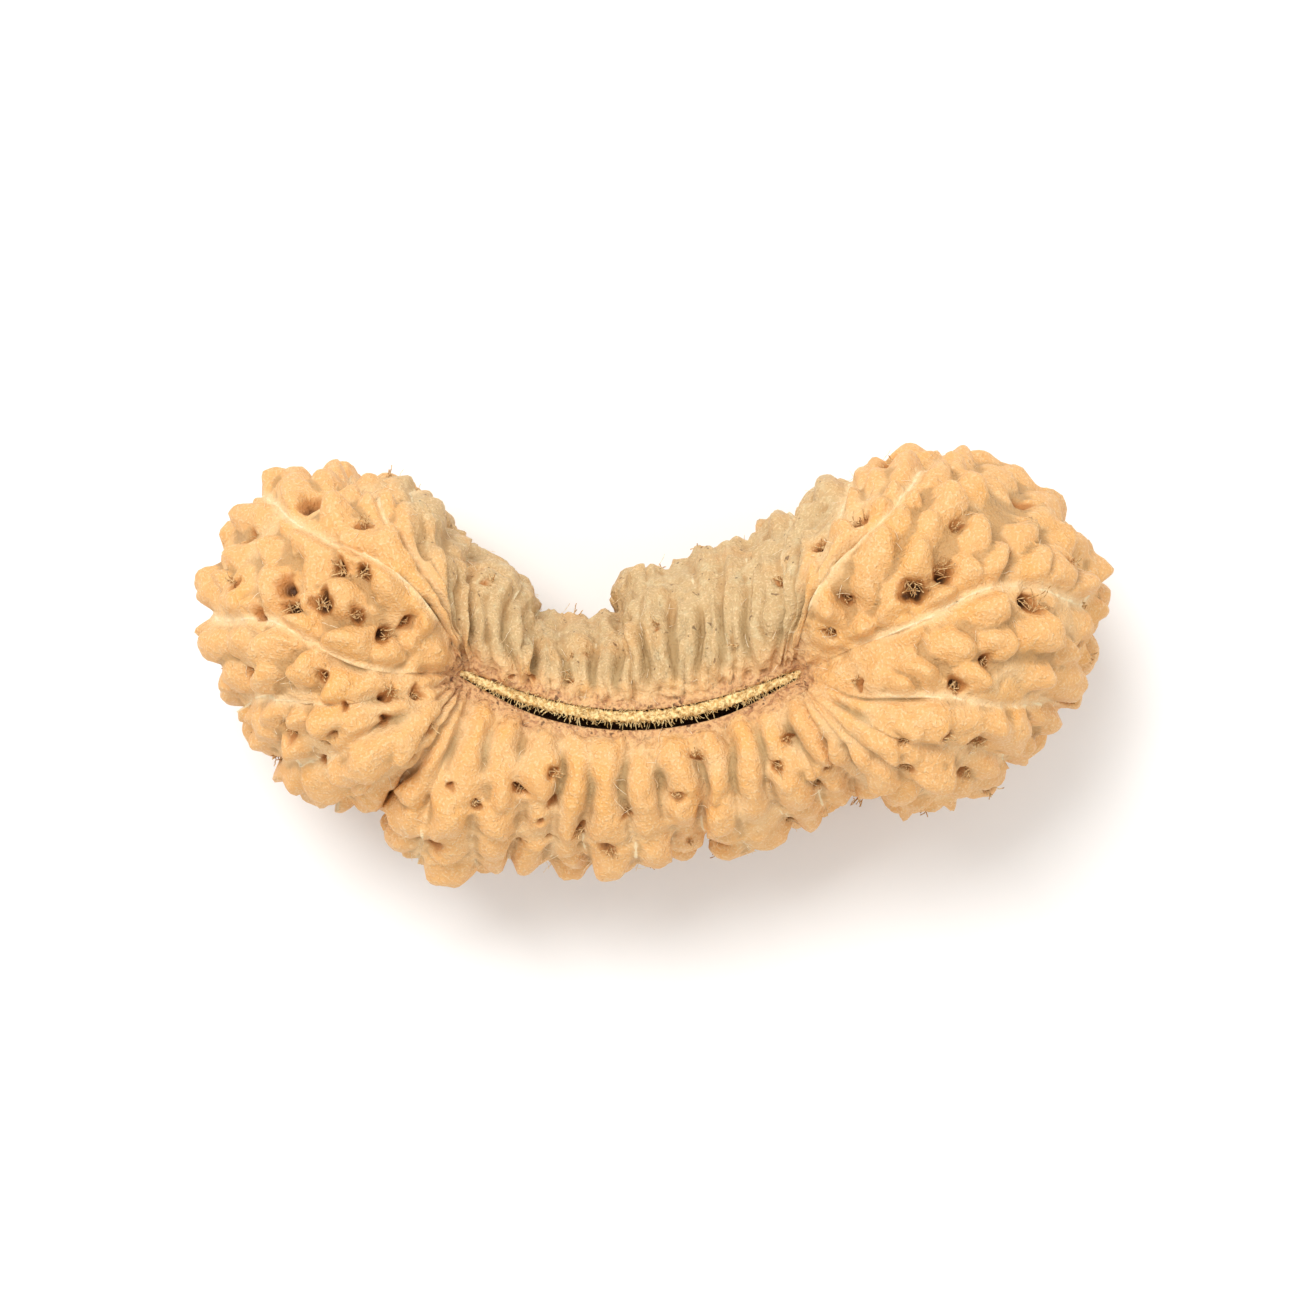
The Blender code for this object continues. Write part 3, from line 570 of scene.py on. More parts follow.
    def window(self, u: np.ndarray, v: np.ndarray, at: np.ndarray) -> tuple[np.ndarray, np.ndarray]:
        """Grid indices round a feature, as an open mesh.

        Args:
            u: Line numbers of the grid's columns.
            v: v of the grid's rows.
            at: The feature's row, u and v first.

        Returns:
            The indices of the columns and rows near it.
        """
        beside = np.abs((u - at[0] + COUNT / 2) % COUNT - COUNT / 2) < 4
        level = np.abs(v - at[1]) < 0.17
        return np.ix_(np.flatnonzero(beside), np.flatnonzero(level))

    def raised(self, u: np.ndarray, v: np.ndarray, points: np.ndarray, out: np.ndarray) -> np.ndarray:
        """Height of the merged knobs; each is blunt, and steeper on its outer end.

        Args:
            u: Line numbers of the grid's columns.
            v: v of the grid's rows.
            points: Grid points, drifted.
            out: Grid normals.

        Returns:
            The height at every grid point.
        """
        total = np.zeros(points.shape[:-1])
        centres = self.stone.point(self.knobs[:, 0], self.knobs[:, 1])
        across, down, outward = self.stone.frames(self.knobs[:, 0], self.knobs[:, 1])
        for i, (_, level, half, length, height) in enumerate(self.knobs):
            block = self.window(u, v, self.knobs[i])
            away = points[block] - centres[i]
            near = (np.einsum("...k,...k", away, away) < 9.0) & (out[block] @ outward[i] > 0.1)
            x = away @ across[i] / half
            y = away @ down[i] * (1 if level < 0.5 else -1)
            y = np.where(y > 0, y / (0.9 * length), y / (1.35 * length))
            r2 = x * x + y * y
            edge = 0.35 + 0.4 * smooth((half - 0.5) / 0.35)
            edge = 1.05 + edge * smooth(0.45 + 0.55 * y / np.sqrt(r2 + 1e-9))
            shape = height * np.exp(-1.1 * r2**edge)
            total[block] += np.where(near, shape, 0.0) ** self.knob_sharpness
        return total ** (1 / self.knob_sharpness)

    def sunk(self, u: np.ndarray, v: np.ndarray, points: np.ndarray, out: np.ndarray) -> np.ndarray:
        """Depth of the pits, each with a soft funnel round its mouth.

        Args:
            u: Line numbers of the grid's columns.
            v: v of the grid's rows.
            points: Grid points, drifted.
            out: Grid normals.

        Returns:
            The depth at every grid point.
        """
        total = np.zeros(points.shape[:-1])
        centres = self.stone.point(self.pits[:, 0], self.pits[:, 1])
        outward = self.stone.frames(self.pits[:, 0], self.pits[:, 1])[2]
        for i, (_, _, radius, depth) in enumerate(self.pits):
            block = self.window(u, v, self.pits[i])
            away = points[block] - centres[i]
            near = (np.einsum("...k,...k", away, away) < 4.0) & (out[block] @ outward[i] > 0.1)
            d = np.linalg.norm(away, axis=-1) / radius
            shape = depth * np.exp(-(d**3.2)) + 0.22 * np.exp(-((d / 2.1) ** 2))
            total[block] = np.maximum(total[block], np.where(near, shape, 0.0))
        return total

    def survey(self, u: np.ndarray, v: np.ndarray, points: np.ndarray, out: np.ndarray) -> Ground:
        """Measure the grid along its columns, from grown line to grown line.

        Args:
            u: Line numbers of the grid's columns.
            v: v of the grid's rows.
            points: Grid points on the smooth stone.
            out: Grid normals.

        Returns:
            The grid with its distances and the noise that several parts of the relief share.
        """
        steps = np.linalg.norm(np.diff(np.concatenate([points, points[:1]]), axis=0), axis=-1)
        travelled = np.concatenate([np.zeros((1, points.shape[1])), np.cumsum(steps, axis=0)])
        at_line = travelled[np.append(np.searchsorted(u, np.arange(COUNT) - ON_LINE), len(u))]
        cell = np.floor(u + ON_LINE).astype(int)
        return Ground(
            u=u,
            v=v,
            points=points,
            out=out,
            from_left=travelled[:-1] - at_line[cell],
            width=at_line[cell + 1] - at_line[cell],
            hollow_side=smooth((self.stone.heading(2, u)[:, 1] - 0.8) / 0.15)[:, None],
            edge=drift(points, 1.1, 9.7),
            patches=drift(points, 2.4, 1.9),
            fine=drift(points, 0.42, 4.9),
        )

    def merging(self, ground: Ground) -> tuple[np.ndarray, np.ndarray]:
        """How far neighbouring segments run into each other, from 0 to 1.

        Args:
            ground: The surveyed grid.

        Returns:
            The share on the belly's ribs alone, and the share everywhere.
        """
        flowing = ground.belly * np.clip(0.45 + 1.4 * ground.patches[..., 2], 0.1, 0.8)
        onward = np.abs(self.stone.heading(1, ground.u)[:, 0])[:, None]
        at_ends = smooth((onward - 0.45) / 0.3) * (1 - smooth((ground.rows - 0.03) / 0.09))
        at_girth = ground.slim * ground.outer * np.clip(0.55 + 1.1 * ground.patches[..., 1], 0.1, 0.9)
        merged = np.maximum(0.85 * at_ends, at_girth)
        merged = np.maximum(merged, np.maximum(flowing, self.lobe_merging * (1 - ground.slim)))
        return flowing, merged

    def swells(self, ground: Ground, knobs: np.ndarray, flowing: np.ndarray) -> np.ndarray:
        """Knobs joined with the ribs that run from the lips down the slim segments.

        Args:
            ground: The surveyed grid.
            knobs: Height of the knobs.
            flowing: How far the belly's ribs run into each other.

        Returns:
            The height of both.
        """
        knobs = knobs * (1 - 0.75 * ground.belly * (1 - smooth((ground.rows - 0.12) / 0.13)))
        aside = 2 * ground.from_left / ground.width - 1 + 0.25 * ground.edge[..., 1]
        dome = np.clip(1 - np.abs(aside) ** 2.4, 0, 1)
        dome = dome + (1 - dome) * flowing
        run_on = smooth((ground.rows + 0.004) / 0.058) * (1 - smooth((ground.rows - 0.24) / 0.16))
        uneven = 1 + 0.7 * drift(ground.points, 1.9, 4.4)[..., 0]
        rib = self.rib * dome * run_on * ground.slim * (1 - 0.62 * ground.hollow_side) * uneven
        return (knobs**self.knob_sharpness + rib**self.knob_sharpness) ** (1 / self.knob_sharpness)

    def strands_along(self, ground: Ground) -> np.ndarray:
        """Fine strands that follow the lines, strongest on the hollow side and beside the slits.

        Args:
            ground: The surveyed grid.

        Returns:
            Their height.
        """
        lengthwise = [2.3 * ground.u[:, None] + 0.5 * ground.edge[..., 1], 7.0 * ground.v]
        lengthwise = np.stack([*np.broadcast_arrays(*lengthwise), ground.points[..., 2] * 0.25], -1)
        strand = drift(lengthwise, 1.0, 2.9)[..., 0]
        beside_slit = np.exp(-((ground.rows / 0.16) ** 2))
        share = np.clip(1.15 * ground.hollow_side + 0.5 * beside_slit, 0.2, 1.15)
        return self.strands * strand * share

    def threads(self, ground: Ground) -> np.ndarray:
        """Raised threads on the grown lines: ragged, worn off in places and lost in the furrows.

        Args:
            ground: The surveyed grid.

        Returns:
            Their strength, 0 to 1.
        """
        ragged = (ground.from_line + 0.07 * ground.fine[..., 0]) / self.thread_width
        thread = np.exp(-(ragged**2)) * smooth(ground.width / 0.7)
        thread = thread * np.clip(0.85 + 1.3 * ground.fine[..., 1], 0.2, 1)
        worn = ground.patches[..., 0] - 0.3 * (ground.width < 2.4) - 0.3 * ground.hollow_side
        whole = 0.95 + 1.5 * worn + 0.8 * ground.edge[..., 2] - 0.9 * ground.furrowed
        inner = 1 - smooth((ground.rows - 0.24) / 0.1)
        return thread * np.clip(whole, 0.0, 1) * (1 - ground.belly * inner) * smooth(ground.rows / 0.06)

    def worn_flat(self, points: np.ndarray) -> np.ndarray:
        """Where the relief stays and where it is worn flat, on the spots that the bead stands on.

        Args:
            points: Grid points on the smooth stone.

        Returns:
            0 on the spots, 1 elsewhere.
        """
        calm = np.ones(points.shape[:-1])
        for x, y, radius in self.rest_spots:
            away = np.hypot(points[..., 0] - x, points[..., 1] - y)
            calm = np.minimum(calm, np.where(points[..., 2] < 0, smooth(away / radius - 0.25), 1.0))
        return calm

    def fields(
        self, u: np.ndarray, v: np.ndarray, points: np.ndarray, out: np.ndarray
    ) -> dict[str, np.ndarray]:
        """The relief and the measures that colour it.

        Args:
            u: Line numbers of the grid's columns.
            v: v of the grid's rows.
            points: Grid points on the smooth stone.
            out: Grid normals.

        Returns:
            Arrays by name: lift (mm over the stone), lean (mm down the lines), rise, thread, pit,
            furrow, seam.
        """
        ground = self.survey(u, v, points, out)
        flowing, merged = self.merging(ground)
        drifted = points + self.warp * drift(points, self.warp_scale, 3.1)
        drifted = drifted + self.fine_warp * drift(points, self.fine_warp_scale, 6.6)
        slope = np.clip(self.valley_share * ground.width, self.least_slope, self.widest_slope)
        bank = smooth((ground.from_line + 0.16 * ground.edge[..., 0]) / slope)
        bank = bank + (1 - bank) * merged
        reach = np.minimum(0.62, 0.42 * ground.width)
        shoulder = smooth((ground.from_line + 0.14 * ground.edge[..., 0]) / reach)
        shoulder = shoulder + (1 - shoulder) * merged
        narrow = 0.30 + 0.70 * smooth(ground.width / 2.7)
        knobs = self.swells(ground, self.raised(u, v, drifted, out), flowing)
        grain = self.grain * drift(points, self.grain_scale, 5.3)[..., 1]
        grain = grain + self.ripple * drift(points, self.ripple_scale, 7.1)[..., 2]
        hollow_side = ground.hollow_side
        height = bank * self.plateau + knobs * narrow * shoulder * (1 - 0.3 * hollow_side) + grain
        furrow = (1 - smooth(ground.from_line / np.minimum(0.5, 0.4 * ground.width))) * ground.furrowed
        furrow = furrow * (1 - 0.8 * flowing)
        height = height - self.furrow * furrow * (1 + 0.6 * hollow_side)
        height = height + self.crumple * ground.belly * drift(points, 1.25, 11.3)[..., 0]
        height = height + self.strands_along(ground)
        across = (u - np.floor(u + ON_LINE))[:, None] - 0.5 + 0.16 * ground.edge[..., 1]
        pleat = self.pleat * np.exp(-((across / 0.13) ** 2)) * hollow_side
        height = height - pleat * bank * (1 - 0.7 * ground.outer)
        seam = np.exp(-((ground.from_line / 0.28) ** 2)) * (1 - ground.furrowed) * (1 - 0.7 * ground.slim)
        rise = height.copy()
        thread = self.threads(ground)
        pit = self.sunk(u, v, drifted + 0.2 * ground.fine, out)
        height = height + self.thread_height * thread - pit
        near_lip = np.exp(-((ground.rows / 0.06) ** 2))
        height = height + self.crumbs * near_lip * drift(points, 0.34, 8.2)[..., 0]
        calm = self.worn_flat(points)
        height = height * calm + (self.sink + self.spot_depth) * (1 - calm)
        lips = smooth(ground.rows / 0.024)
        lean = self.lean * knobs * bank * narrow * lips * calm
        return {
            "lift": (height - self.sink) * lips + self.lip_lift * (1 - lips),
            "lean": lean * np.clip((0.5 - v) / 0.07, -1, 1),
            "rise": rise,
            "thread": thread,
            "pit": pit,
            "furrow": furrow,
            "seam": seam,
        }


def add_node(
    tree: bpy.types.NodeTree,
    kind: str,
    settings: dict[str, object] | None = None,
    values: dict[str, object] | None = None,
) -> bpy.types.Node:
    """Add a node.

    Args:
        tree: The node tree.
        kind: The node's type name.
        settings: Properties of the node.
        values: Inputs by name or number. A socket, or a node's first output, is linked, and
            anything else is set.

    Returns:
        The new node.
    """
    node = tree.nodes.new(kind)
    for name, value in (settings or {}).items():
        setattr(node, name, value)
    for key, value in (values or {}).items():
        socket = node.inputs[key]
        if isinstance(value, bpy.types.Node):
            value = value.outputs[0]
        if isinstance(value, bpy.types.NodeSocket):
            tree.links.new(value, socket)
        else:
            socket.default_value = value
    return node


def start_material(name: str) -> tuple[bpy.types.Material, bpy.types.NodeTree, bpy.types.Node]:
    """An empty node material with its Principled shader linked to the output.

    Args:
        name: The material's name.

    Returns:
        The material, its node tree and its Principled shader.
    """
    material = bpy.data.materials.new(name)
    material.use_nodes = True
    tree = material.node_tree
    return material, tree, tree.nodes["Principled BSDF"]


def tinted(
    tree: bpy.types.NodeTree,
    colour: object,
    tint: str,
    measure: bpy.types.NodeSocket,
    span: tuple[float, float],
    most: float = 1.0,
    within: bpy.types.NodeSocket | None = None,
) -> bpy.types.NodeSocket:
    """Lay a tint over a colour where a measure rises.

    Args:
        tree: The node tree.
        colour: The colour below, as RGBA or a socket.
        tint: sRGB hex colour laid over it.
        measure: What brings the tint in.
        span: The measure where the tint starts and where it is full.
        most: Its strength where it is full.
        within: A second measure, 0 to 1, that limits it.

    Returns:
        The new colour's socket.
    """
    values = {"Value": measure, 1: span[0], 2: span[1], 3: 0.0, 4: most}
    amount = add_node(tree, "ShaderNodeMapRange", SOFT_STEP, values)
    if within is not None:
        amount = add_node(tree, "ShaderNodeMath", TIMES, {0: amount, 1: within})
    blend = add_node(tree, "ShaderNodeMix", BLEND, {0: amount, 6: colour, 7: linear(tint)})
    return blend.outputs[2]


def mottles(
    tree: bpy.types.NodeTree, sizes: dict[str, tuple[float, float]], squash: float = 1.0
) -> dict[str, bpy.types.NodeSocket]:
    """Uneven patterns in Object coordinates.

    Args:
        tree: The node tree.
        sizes: Patch size in millimetres and detail, by name.
        squash: How much longer the patches are along Z.

    Returns:
        Each pattern's socket by name.
    """
    place = add_node(tree, "ShaderNodeTexCoord").outputs["Object"]
    if squash != 1.0:
        values = {0: place, 1: (1.0, 1.0, 1 / squash)}
        place = add_node(tree, "ShaderNodeVectorMath", TIMES, values)
    found = {}
    for name, (size, detail) in sizes.items():
        values = {"Vector": place, "W": 10 * size, "Scale": 1 / (size * MM), "Detail": detail}
        found[name] = add_node(tree, "ShaderNodeTexNoise", {"noise_dimensions": "4D"}, values).outputs[0]
    return found


@dataclass(frozen=True)
class SeedStoneFinish:
    """Dried, brushed seed stone: waxy ochre knobs, chalky cream valleys, fibrous pits, with painted shade
    in its hollows, furrows, pits and slits.
    """

    valley: str = "#E0B680"
    knob: str = "#DFA866"
    tan: str = "#D79F5E"
    dust: str = "#F3D6A6"
    # Painted shade: brown laid where the surface lies below its surroundings.
    hollow: str = "#AE8450"
    # Painted shade laid in the furrows beside the slits.
    furrow: str = "#A98C5F"
    wall: str = "#BCA073"
    wisp: str = "#D6C397"
    thread: str = "#F1DDB2"
    wax: str = "#E3A350"
    crust: str = "#D29E6C"
    rosy: str = "#9A6444"
    pore: str = "#5B3A20"
    # Rust-orange tone with painted shade, round the pits' mouths and on the slits' upper rings.
    pit_rim_rust_and_shade: str = "#B9793C"
    # Painted shade, near black, deep in the pits and down the slits.
    pit_core_shade: str = "#54300F"
    # Roughness in the valleys and on the knobs, light let in, and its depth in millimetres.
    chalky: float = 0.78
    waxy: float = 0.52
    glow: float = 0.06
    glow_depth: float = 0.6
    ior: float = 1.5

    def build(self) -> bpy.types.Material:
        """The material of the whole skin; it reads the skin's own measures."""
        material, tree, shader = start_material("dried_seed_stone")
        add = partial(add_node, tree)
        read = {
            name: add("ShaderNodeAttribute", {"attribute_name": name}).outputs["Fac"]
            for name in ("rise", "thread", "pit", "furrow", "seam", "slit", "wall", "hollow")
        }
        sizes = {"patch": (2.6, 2.0), "mottle": (0.75, 3.0), "grit": (0.12, 3.0), "speck": (0.2, 1.0)}
        marks = mottles(tree, sizes | {"pore": (0.33, 1.0)})
        streak = mottles(tree, {"streak": (0.45, 3.0)}, 5.0)["streak"]
        values = {"Value": read["seam"], 1: 0.1, 2: 0.7, 3: 1.0, 4: 0.0}
        off_seams = add("ShaderNodeMapRange", SOFT_STEP, values).outputs[0]
        # Tint, measure, where it starts and is full, strength, and a second measure that limits it.
        layers = (
            (self.knob, read["rise"], (0.1, 0.6), 1.0, None),
            (self.tan, marks["patch"], (0.5, 0.75), 0.4, None),
            (self.wax, marks["patch"], (0.49, 0.32), 0.5, None),
            (self.valley, marks["mottle"], (0.5, 0.72), 0.5, None),
            (self.wall, read["wall"], (0.0, 1.0), 0.78, None),
            (self.wisp, streak, (0.5, 0.7), 0.5, read["wall"]),
            (self.tan, marks["patch"], (0.5, 0.68), 0.4, read["wall"]),
            (self.dust, marks["grit"], (0.48, 0.68), 0.48, None),
            # Painted shade in the hollows, kept off the grown lines.
            (self.hollow, read["hollow"], (0.58, 0.98), 0.7, off_seams),
            (self.dust, read["seam"], (0.1, 0.9), 0.42, None),
            # Painted shade: grey-brown in the furrows.
            (self.furrow, read["furrow"], (0.2, 0.8), 0.75, None),
            (self.crust, read["slit"], (0.0, 0.9), 0.6, None),
            (self.rosy, marks["speck"], (0.46, 0.66), 0.75, read["slit"]),
            (self.pore, marks["pore"], (0.63, 0.7), 0.9, read["slit"]),
            (self.pore, marks["pore"], (0.68, 0.74), 0.7, read["wall"]),
            (self.thread, read["thread"], (0.2, 0.7), 0.75, None),
            # Rust-orange tone with painted shade on the pits' funnels.
            (self.pit_rim_rust_and_shade, read["pit"], (0.12, 0.4), 0.85, None),
            # Painted shade in the depths of the pits and the slits.
            (self.pit_core_shade, read["pit"], (0.42, 0.95), 1.0, None),
        )
        colour = linear(self.valley)
        for tint, measure, span, most, within in layers:
            colour = tinted(tree, colour, tint, measure, span, most, within)
        tree.links.new(colour, shader.inputs["Base Color"])
        values = {"Value": read["rise"], 1: 0.2, 2: 1.0, 3: self.chalky, 4: self.waxy}
        rough = add("ShaderNodeMapRange", SOFT_STEP, values).outputs[0]
        tree.links.new(rough, shader.inputs["Roughness"])
        crumb = add("ShaderNodeMath", TIMES, {0: marks["speck"], 1: read["slit"]})
        # Height, strength and depth in millimetres of each layer of fine relief.
        bumps = ((marks["grit"], 0.9, 0.12), (marks["mottle"], 0.8, 0.26), (crumb, 0.8, 0.2))
        normal = None
        for height, strength, depth in bumps:
            values = {"Strength": strength, "Distance": depth * MM, "Height": height}
            values |= {"Normal": normal} if normal else {}
            normal = add("ShaderNodeBump", {}, values)
        tree.links.new(normal.outputs[0], shader.inputs["Normal"])
        shader.inputs["IOR"].default_value = self.ior
        shader.inputs["Subsurface Weight"].default_value = self.glow
        shader.inputs["Subsurface Radius"].default_value = (1.0, 0.55, 0.25)
        shader.inputs["Subsurface Scale"].default_value = self.glow_depth * MM
        return material


@dataclass(frozen=True)
class FibreFinish:
    """Dry plant fibre: matt, paler where it is loose, streaked darker where it is bound."""

    name: str
    light: str
    dark: str
    ior: float = 1.5
    roughness: float = 0.75

    def build(self) -> bpy.types.Material:
        """The fibre's material, streaked in Object coordinates."""
        material, tree, shader = start_material(self.name)
        marks = mottles(tree, {"streak": (0.17, 3.0), "grit": (0.08, 2.0)})
        colour = tinted(tree, linear(self.light), self.dark, marks["streak"], (0.4, 0.62))
        colour = tinted(tree, colour, self.dark, marks["grit"], (0.45, 0.7), 0.35)
        tree.links.new(colour, shader.inputs["Base Color"])
        values = {"Strength": 0.6, "Distance": 0.05 * MM, "Height": marks["grit"]}
        bump = add_node(tree, "ShaderNodeBump", {}, values)
        tree.links.new(bump.outputs[0], shader.inputs["Normal"])
        shader.inputs["IOR"].default_value = self.ior
        shader.inputs["Roughness"].default_value = self.roughness
        return material


# The core's edge in the slits: dry straw, golden cream with tan between the strands.
STRAW = FibreFinish("dry_straw_fibre", "#F5DDA2", "#D2A864")
# What is left of the fruit in the pits: husk fibre, paler at its loose ends.
HUSK = FibreFinish("dry_husk_fibre", "#EAC890", "#B07C42")
# Loose hairs on the surface, bleached almost white by drying.
HAIR = FibreFinish("bleached_hair_fibre", "#F7E8C8", "#E2C08E")


@dataclass(frozen=True)
class BoardFinish:
    """Matt white card under the bead: even, with a faint paper tooth."""

    colour: str = "#F4F3F1"

    def build(self) -> bpy.types.Material:
        """The card's material."""
        material, tree, shader = start_material("matt_white_card")
        tooth = mottles(tree, {"tooth": (0.6, 3.0)})["tooth"]
        values = {"Strength": 0.1, "Distance": 0.03 * MM, "Height": tooth}
        bump = add_node(tree, "ShaderNodeBump", {}, values)
        tree.links.new(bump.outputs[0], shader.inputs["Normal"])
        shader.inputs["Base Color"].default_value = linear(self.colour)
        shader.inputs["Roughness"].default_value = 0.9
        return material


def make_object(
    name: str, points: np.ndarray, faces: Sequence[Sequence[int]], material: bpy.types.Material | None
) -> bpy.types.Object:
    """A smooth-shaded mesh object at the origin.

    Args:
        name: The piece's name.
        points: Vertices in metres.
        faces: Vertex indices of each face.
        material: Its finish, if any.

    Returns:
        The linked object.
    """
    mesh = bpy.data.meshes.new(name)
    mesh.from_pydata(points.tolist(), [], faces)
    if faces:
        mesh.shade_smooth()
    piece = bpy.data.objects.new(name, mesh)
    bpy.context.scene.collection.objects.link(piece)
    if material:
        mesh.materials.append(material)
    return piece


def face_outwards(mesh: bpy.types.Mesh) -> None:
    """Triangulate large faces and turn every face outwards.

    Args:
        mesh: The closed mesh to mend.
    """
    work = bmesh.new()
    work.from_mesh(mesh)
    bmesh.ops.triangulate(work, faces=[face for face in work.faces if len(face.verts) > 4])
    bmesh.ops.recalc_face_normals(work, faces=work.faces)
    work.to_mesh(mesh)
    work.free()


def mount_piece(piece: bpy.types.Object, replaced: bool = False) -> None:
    """Let a finished piece ride on the bead, hiding the solid when it takes its place.

    Args:
        piece: The finished piece.
        replaced: Whether it takes the place of the solid.
    """
    if replaced:
        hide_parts(NODE)
    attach(piece, BODY)
    triangles = sum(len(face.vertices) - 2 for face in piece.data.polygons)
    LOG.info("%s: %d triangles", piece.name, triangles)


@dataclass
class SeedSkin:
    """The whole grown surface of the bead as one closed mesh."""

    stone: Stone
    relief: Relief
    # The grid's columns and rows, and the triangles that are left after thinning.
    column_width: float = 0.15
    rows: int = 400
    triangles: int = 198000
    # Fewest and most columns between two lines, and how far they crowd towards the lines.
    fewest: int = 8
    most: int = 40
    crowding: float = 0.085
    samples: int = 41
    # Each ring of points in a slit: its share of the lips' distance, and how far down it lies.
    groove_rings: tuple[tuple[float, float], ...] = (
        (0.95, 0.15), (0.92, 0.45), (0.9, 1.1), (0.86, 1.9),
    )
    # The pit measure in a slit, which paints it dark as shade, and on its uppermost ring, a rim of
    # painted shade.
    groove_shade: float = 1.2
    groove_rim: float = 0.3
    # Where the crust starts beside a slit's middle, and how high or low on the bead it lies.
    crust_start: float = 0.45
    crust_level: float = 3.5
    points: np.ndarray = field(init=False)
    normals: np.ndarray = field(init=False)
    measures: dict[str, np.ndarray] = field(init=False)
    u: np.ndarray = field(init=False)
    v: np.ndarray = field(init=False)

    def columns(self) -> np.ndarray:
        """Values of u round the bead, closer together beside the grown lines."""
        values: list[float] = []
        width = self.column_width * 1.0
        for line in range(COUNT):
            v = np.linspace(0, 1, self.samples)
            left = self.stone.point(np.full(self.samples, float(line)), v)
            right = self.stone.point(np.full(self.samples, line + 1.0), v)
            widest = np.linalg.norm(right - left, axis=-1).max()
            steps = int(np.clip(round(widest / width), self.fewest, self.most))
            x = np.arange(steps) / steps
            values.extend(line + x - self.crowding * np.sin(2 * math.pi * x))
        return np.array(values)

    def grow(self) -> None:
        """Work out the grid, its relief and its measures."""
        self.u = self.columns()
        rows = self.rows
        self.v = np.linspace(0, 1, rows + 1)
        uu, vv = np.meshgrid(self.u, self.v, indexing="ij")
        base = self.stone.point(uu, vv)
        _, down, self.normals = self.stone.frames(uu, vv)
        found = self.relief.fields(self.u, self.v, base, self.normals)
        lift, lean = found.pop("lift"), found.pop("lean")
        self.points = base + self.normals * lift[..., None] + down * lean[..., None]
        self.points[..., 2] = np.maximum(self.points[..., 2], self.stone.rest_level)
        from_slit = np.hypot(*(base[..., :2] - self.stone.slit_point(self.stone.seat(uu))).T).T
        self.measures = found | {
            "slit": self.crusted(base, from_slit),
            "wall": self.walled(base, uu, from_slit),
            # How hollow each point lies: it lays painted shade in the finish and places the valley fluff.
            "hollow": self.hollowness(lift),
        }

    def crusted(self, base: np.ndarray, from_slit: np.ndarray) -> np.ndarray:
        """How crusted the surface is, in an uneven band along each slit.

        Args:
            base: Grid points on the smooth stone.
            from_slit: Their distance from the middle of the slit, in plan.

        Returns:
            1 at the lips, falling to 0.
        """
        band = 0.5 + 0.4 * drift(base, 1.2, 4.4)[..., 0] + 0.25 * drift(base, 0.4, 7.4)[..., 1]
        beside = np.maximum(from_slit - self.crust_start, 0)
        return np.exp(-((beside / band) ** 2)) * (np.abs(base[..., 2]) > self.crust_level)

    def walled(self, base: np.ndarray, uu: np.ndarray, from_slit: np.ndarray) -> np.ndarray:
        """How far the surface belongs to the greyer wall on the hollow side.

        Args:
            base: Grid points on the smooth stone.
            uu: Their line numbers.
            from_slit: Their distance from the middle of the slit, in plan.

        Returns:
            1 on the wall, falling to 0 at its uneven edge and beside the slits.
        """
        uneven = 0.07 * drift(base, 1.6, 3.7)[..., 0]
        hollow_side = smooth((self.stone.heading(2, uu)[..., 1] + uneven - 0.87) / 0.12)
        return hollow_side * smooth((from_slit - 0.9) / 1.6)

    def hollowness(self, lift: np.ndarray) -> np.ndarray:
        """How far a point lies below its surroundings, from 0 to 1.

        Args:
            lift: Height over the smooth stone on the grid.

        Returns:
            0 on crests, 0.5 on even ground, 1 in hollows.
        """
        wide = lift
        for axis, reach in ((0, 4), (1, 5)):
            shifted = [np.roll(wide, k, axis) for k in range(-reach, reach + 1)]
            wide = np.mean(shifted, axis=0)
        return np.clip(0.5 + (wide - lift) / 0.35, 0, 1)

    def groove(self, side: Side) -> list[np.ndarray]:
        """Rings of points from a lip down to the floor of its slit.

        Args:
            side: Which slit.

        Returns:
            One array of points per ring, from the lip downwards.
        """
        foot = self.stone.slit_point(self.stone.seat(self.u))
        heading = self.stone.heading(1, self.u)
        lip = self.stone.lip_width(self.u)
        rings = []
        for share, drop in self.groove_rings:
            level = np.full((len(self.u), 1), side.value * (self.stone.slit_height - drop))
            rings.append(np.concatenate([foot + heading * (lip * share)[:, None], level], -1))
        return rings

    def build(self, finish: SeedStoneFinish) -> bpy.types.Object:
        """Mesh the skin, thin it to its budget and carry its measures over.

        Args:
            finish: The seed stone's finish.

        Returns:
            The finished piece.
        """
        self.grow()
        upper, lower = self.groove(Side.UPPER), self.groove(Side.LOWER)
        grid = np.stack(
            list(reversed(upper)) + [self.points[:, k] for k in range(len(self.v))] + lower, 1
        )
        around, down = grid.shape[:2]
        index = np.arange(around * down).reshape(around, down)
        following = np.roll(index, -1, axis=0)
        faces = np.stack([index[:, :-1], following[:, :-1], following[:, 1:], index[:, 1:]], -1)
        caps = [index[::-1, 0].tolist(), index[:, -1].tolist()]
        placed = self.stone.placed(grid).reshape(-1, 3)
        piece = make_object("seed_skin", placed, faces.reshape(-1, 4).tolist() + caps, None)
        face_outwards(piece.data)
        whole = sum(len(face.vertices) - 2 for face in piece.data.polygons)
        if whole > self.triangles:
            thin = piece.modifiers.new("thin", "DECIMATE")
            thin.ratio = self.triangles / whole
            graph = bpy.context.evaluated_depsgraph_get()
            mesh = bpy.data.meshes.new_from_object(piece.evaluated_get(graph))
            piece.modifiers.remove(thin)
            piece.data = mesh
        piece.data.shade_smooth()
        self.carry_measures(piece.data, placed, len(upper), len(lower))
        piece.data.materials.append(finish.build())
        mount_piece(piece, replaced=True)
        return piece

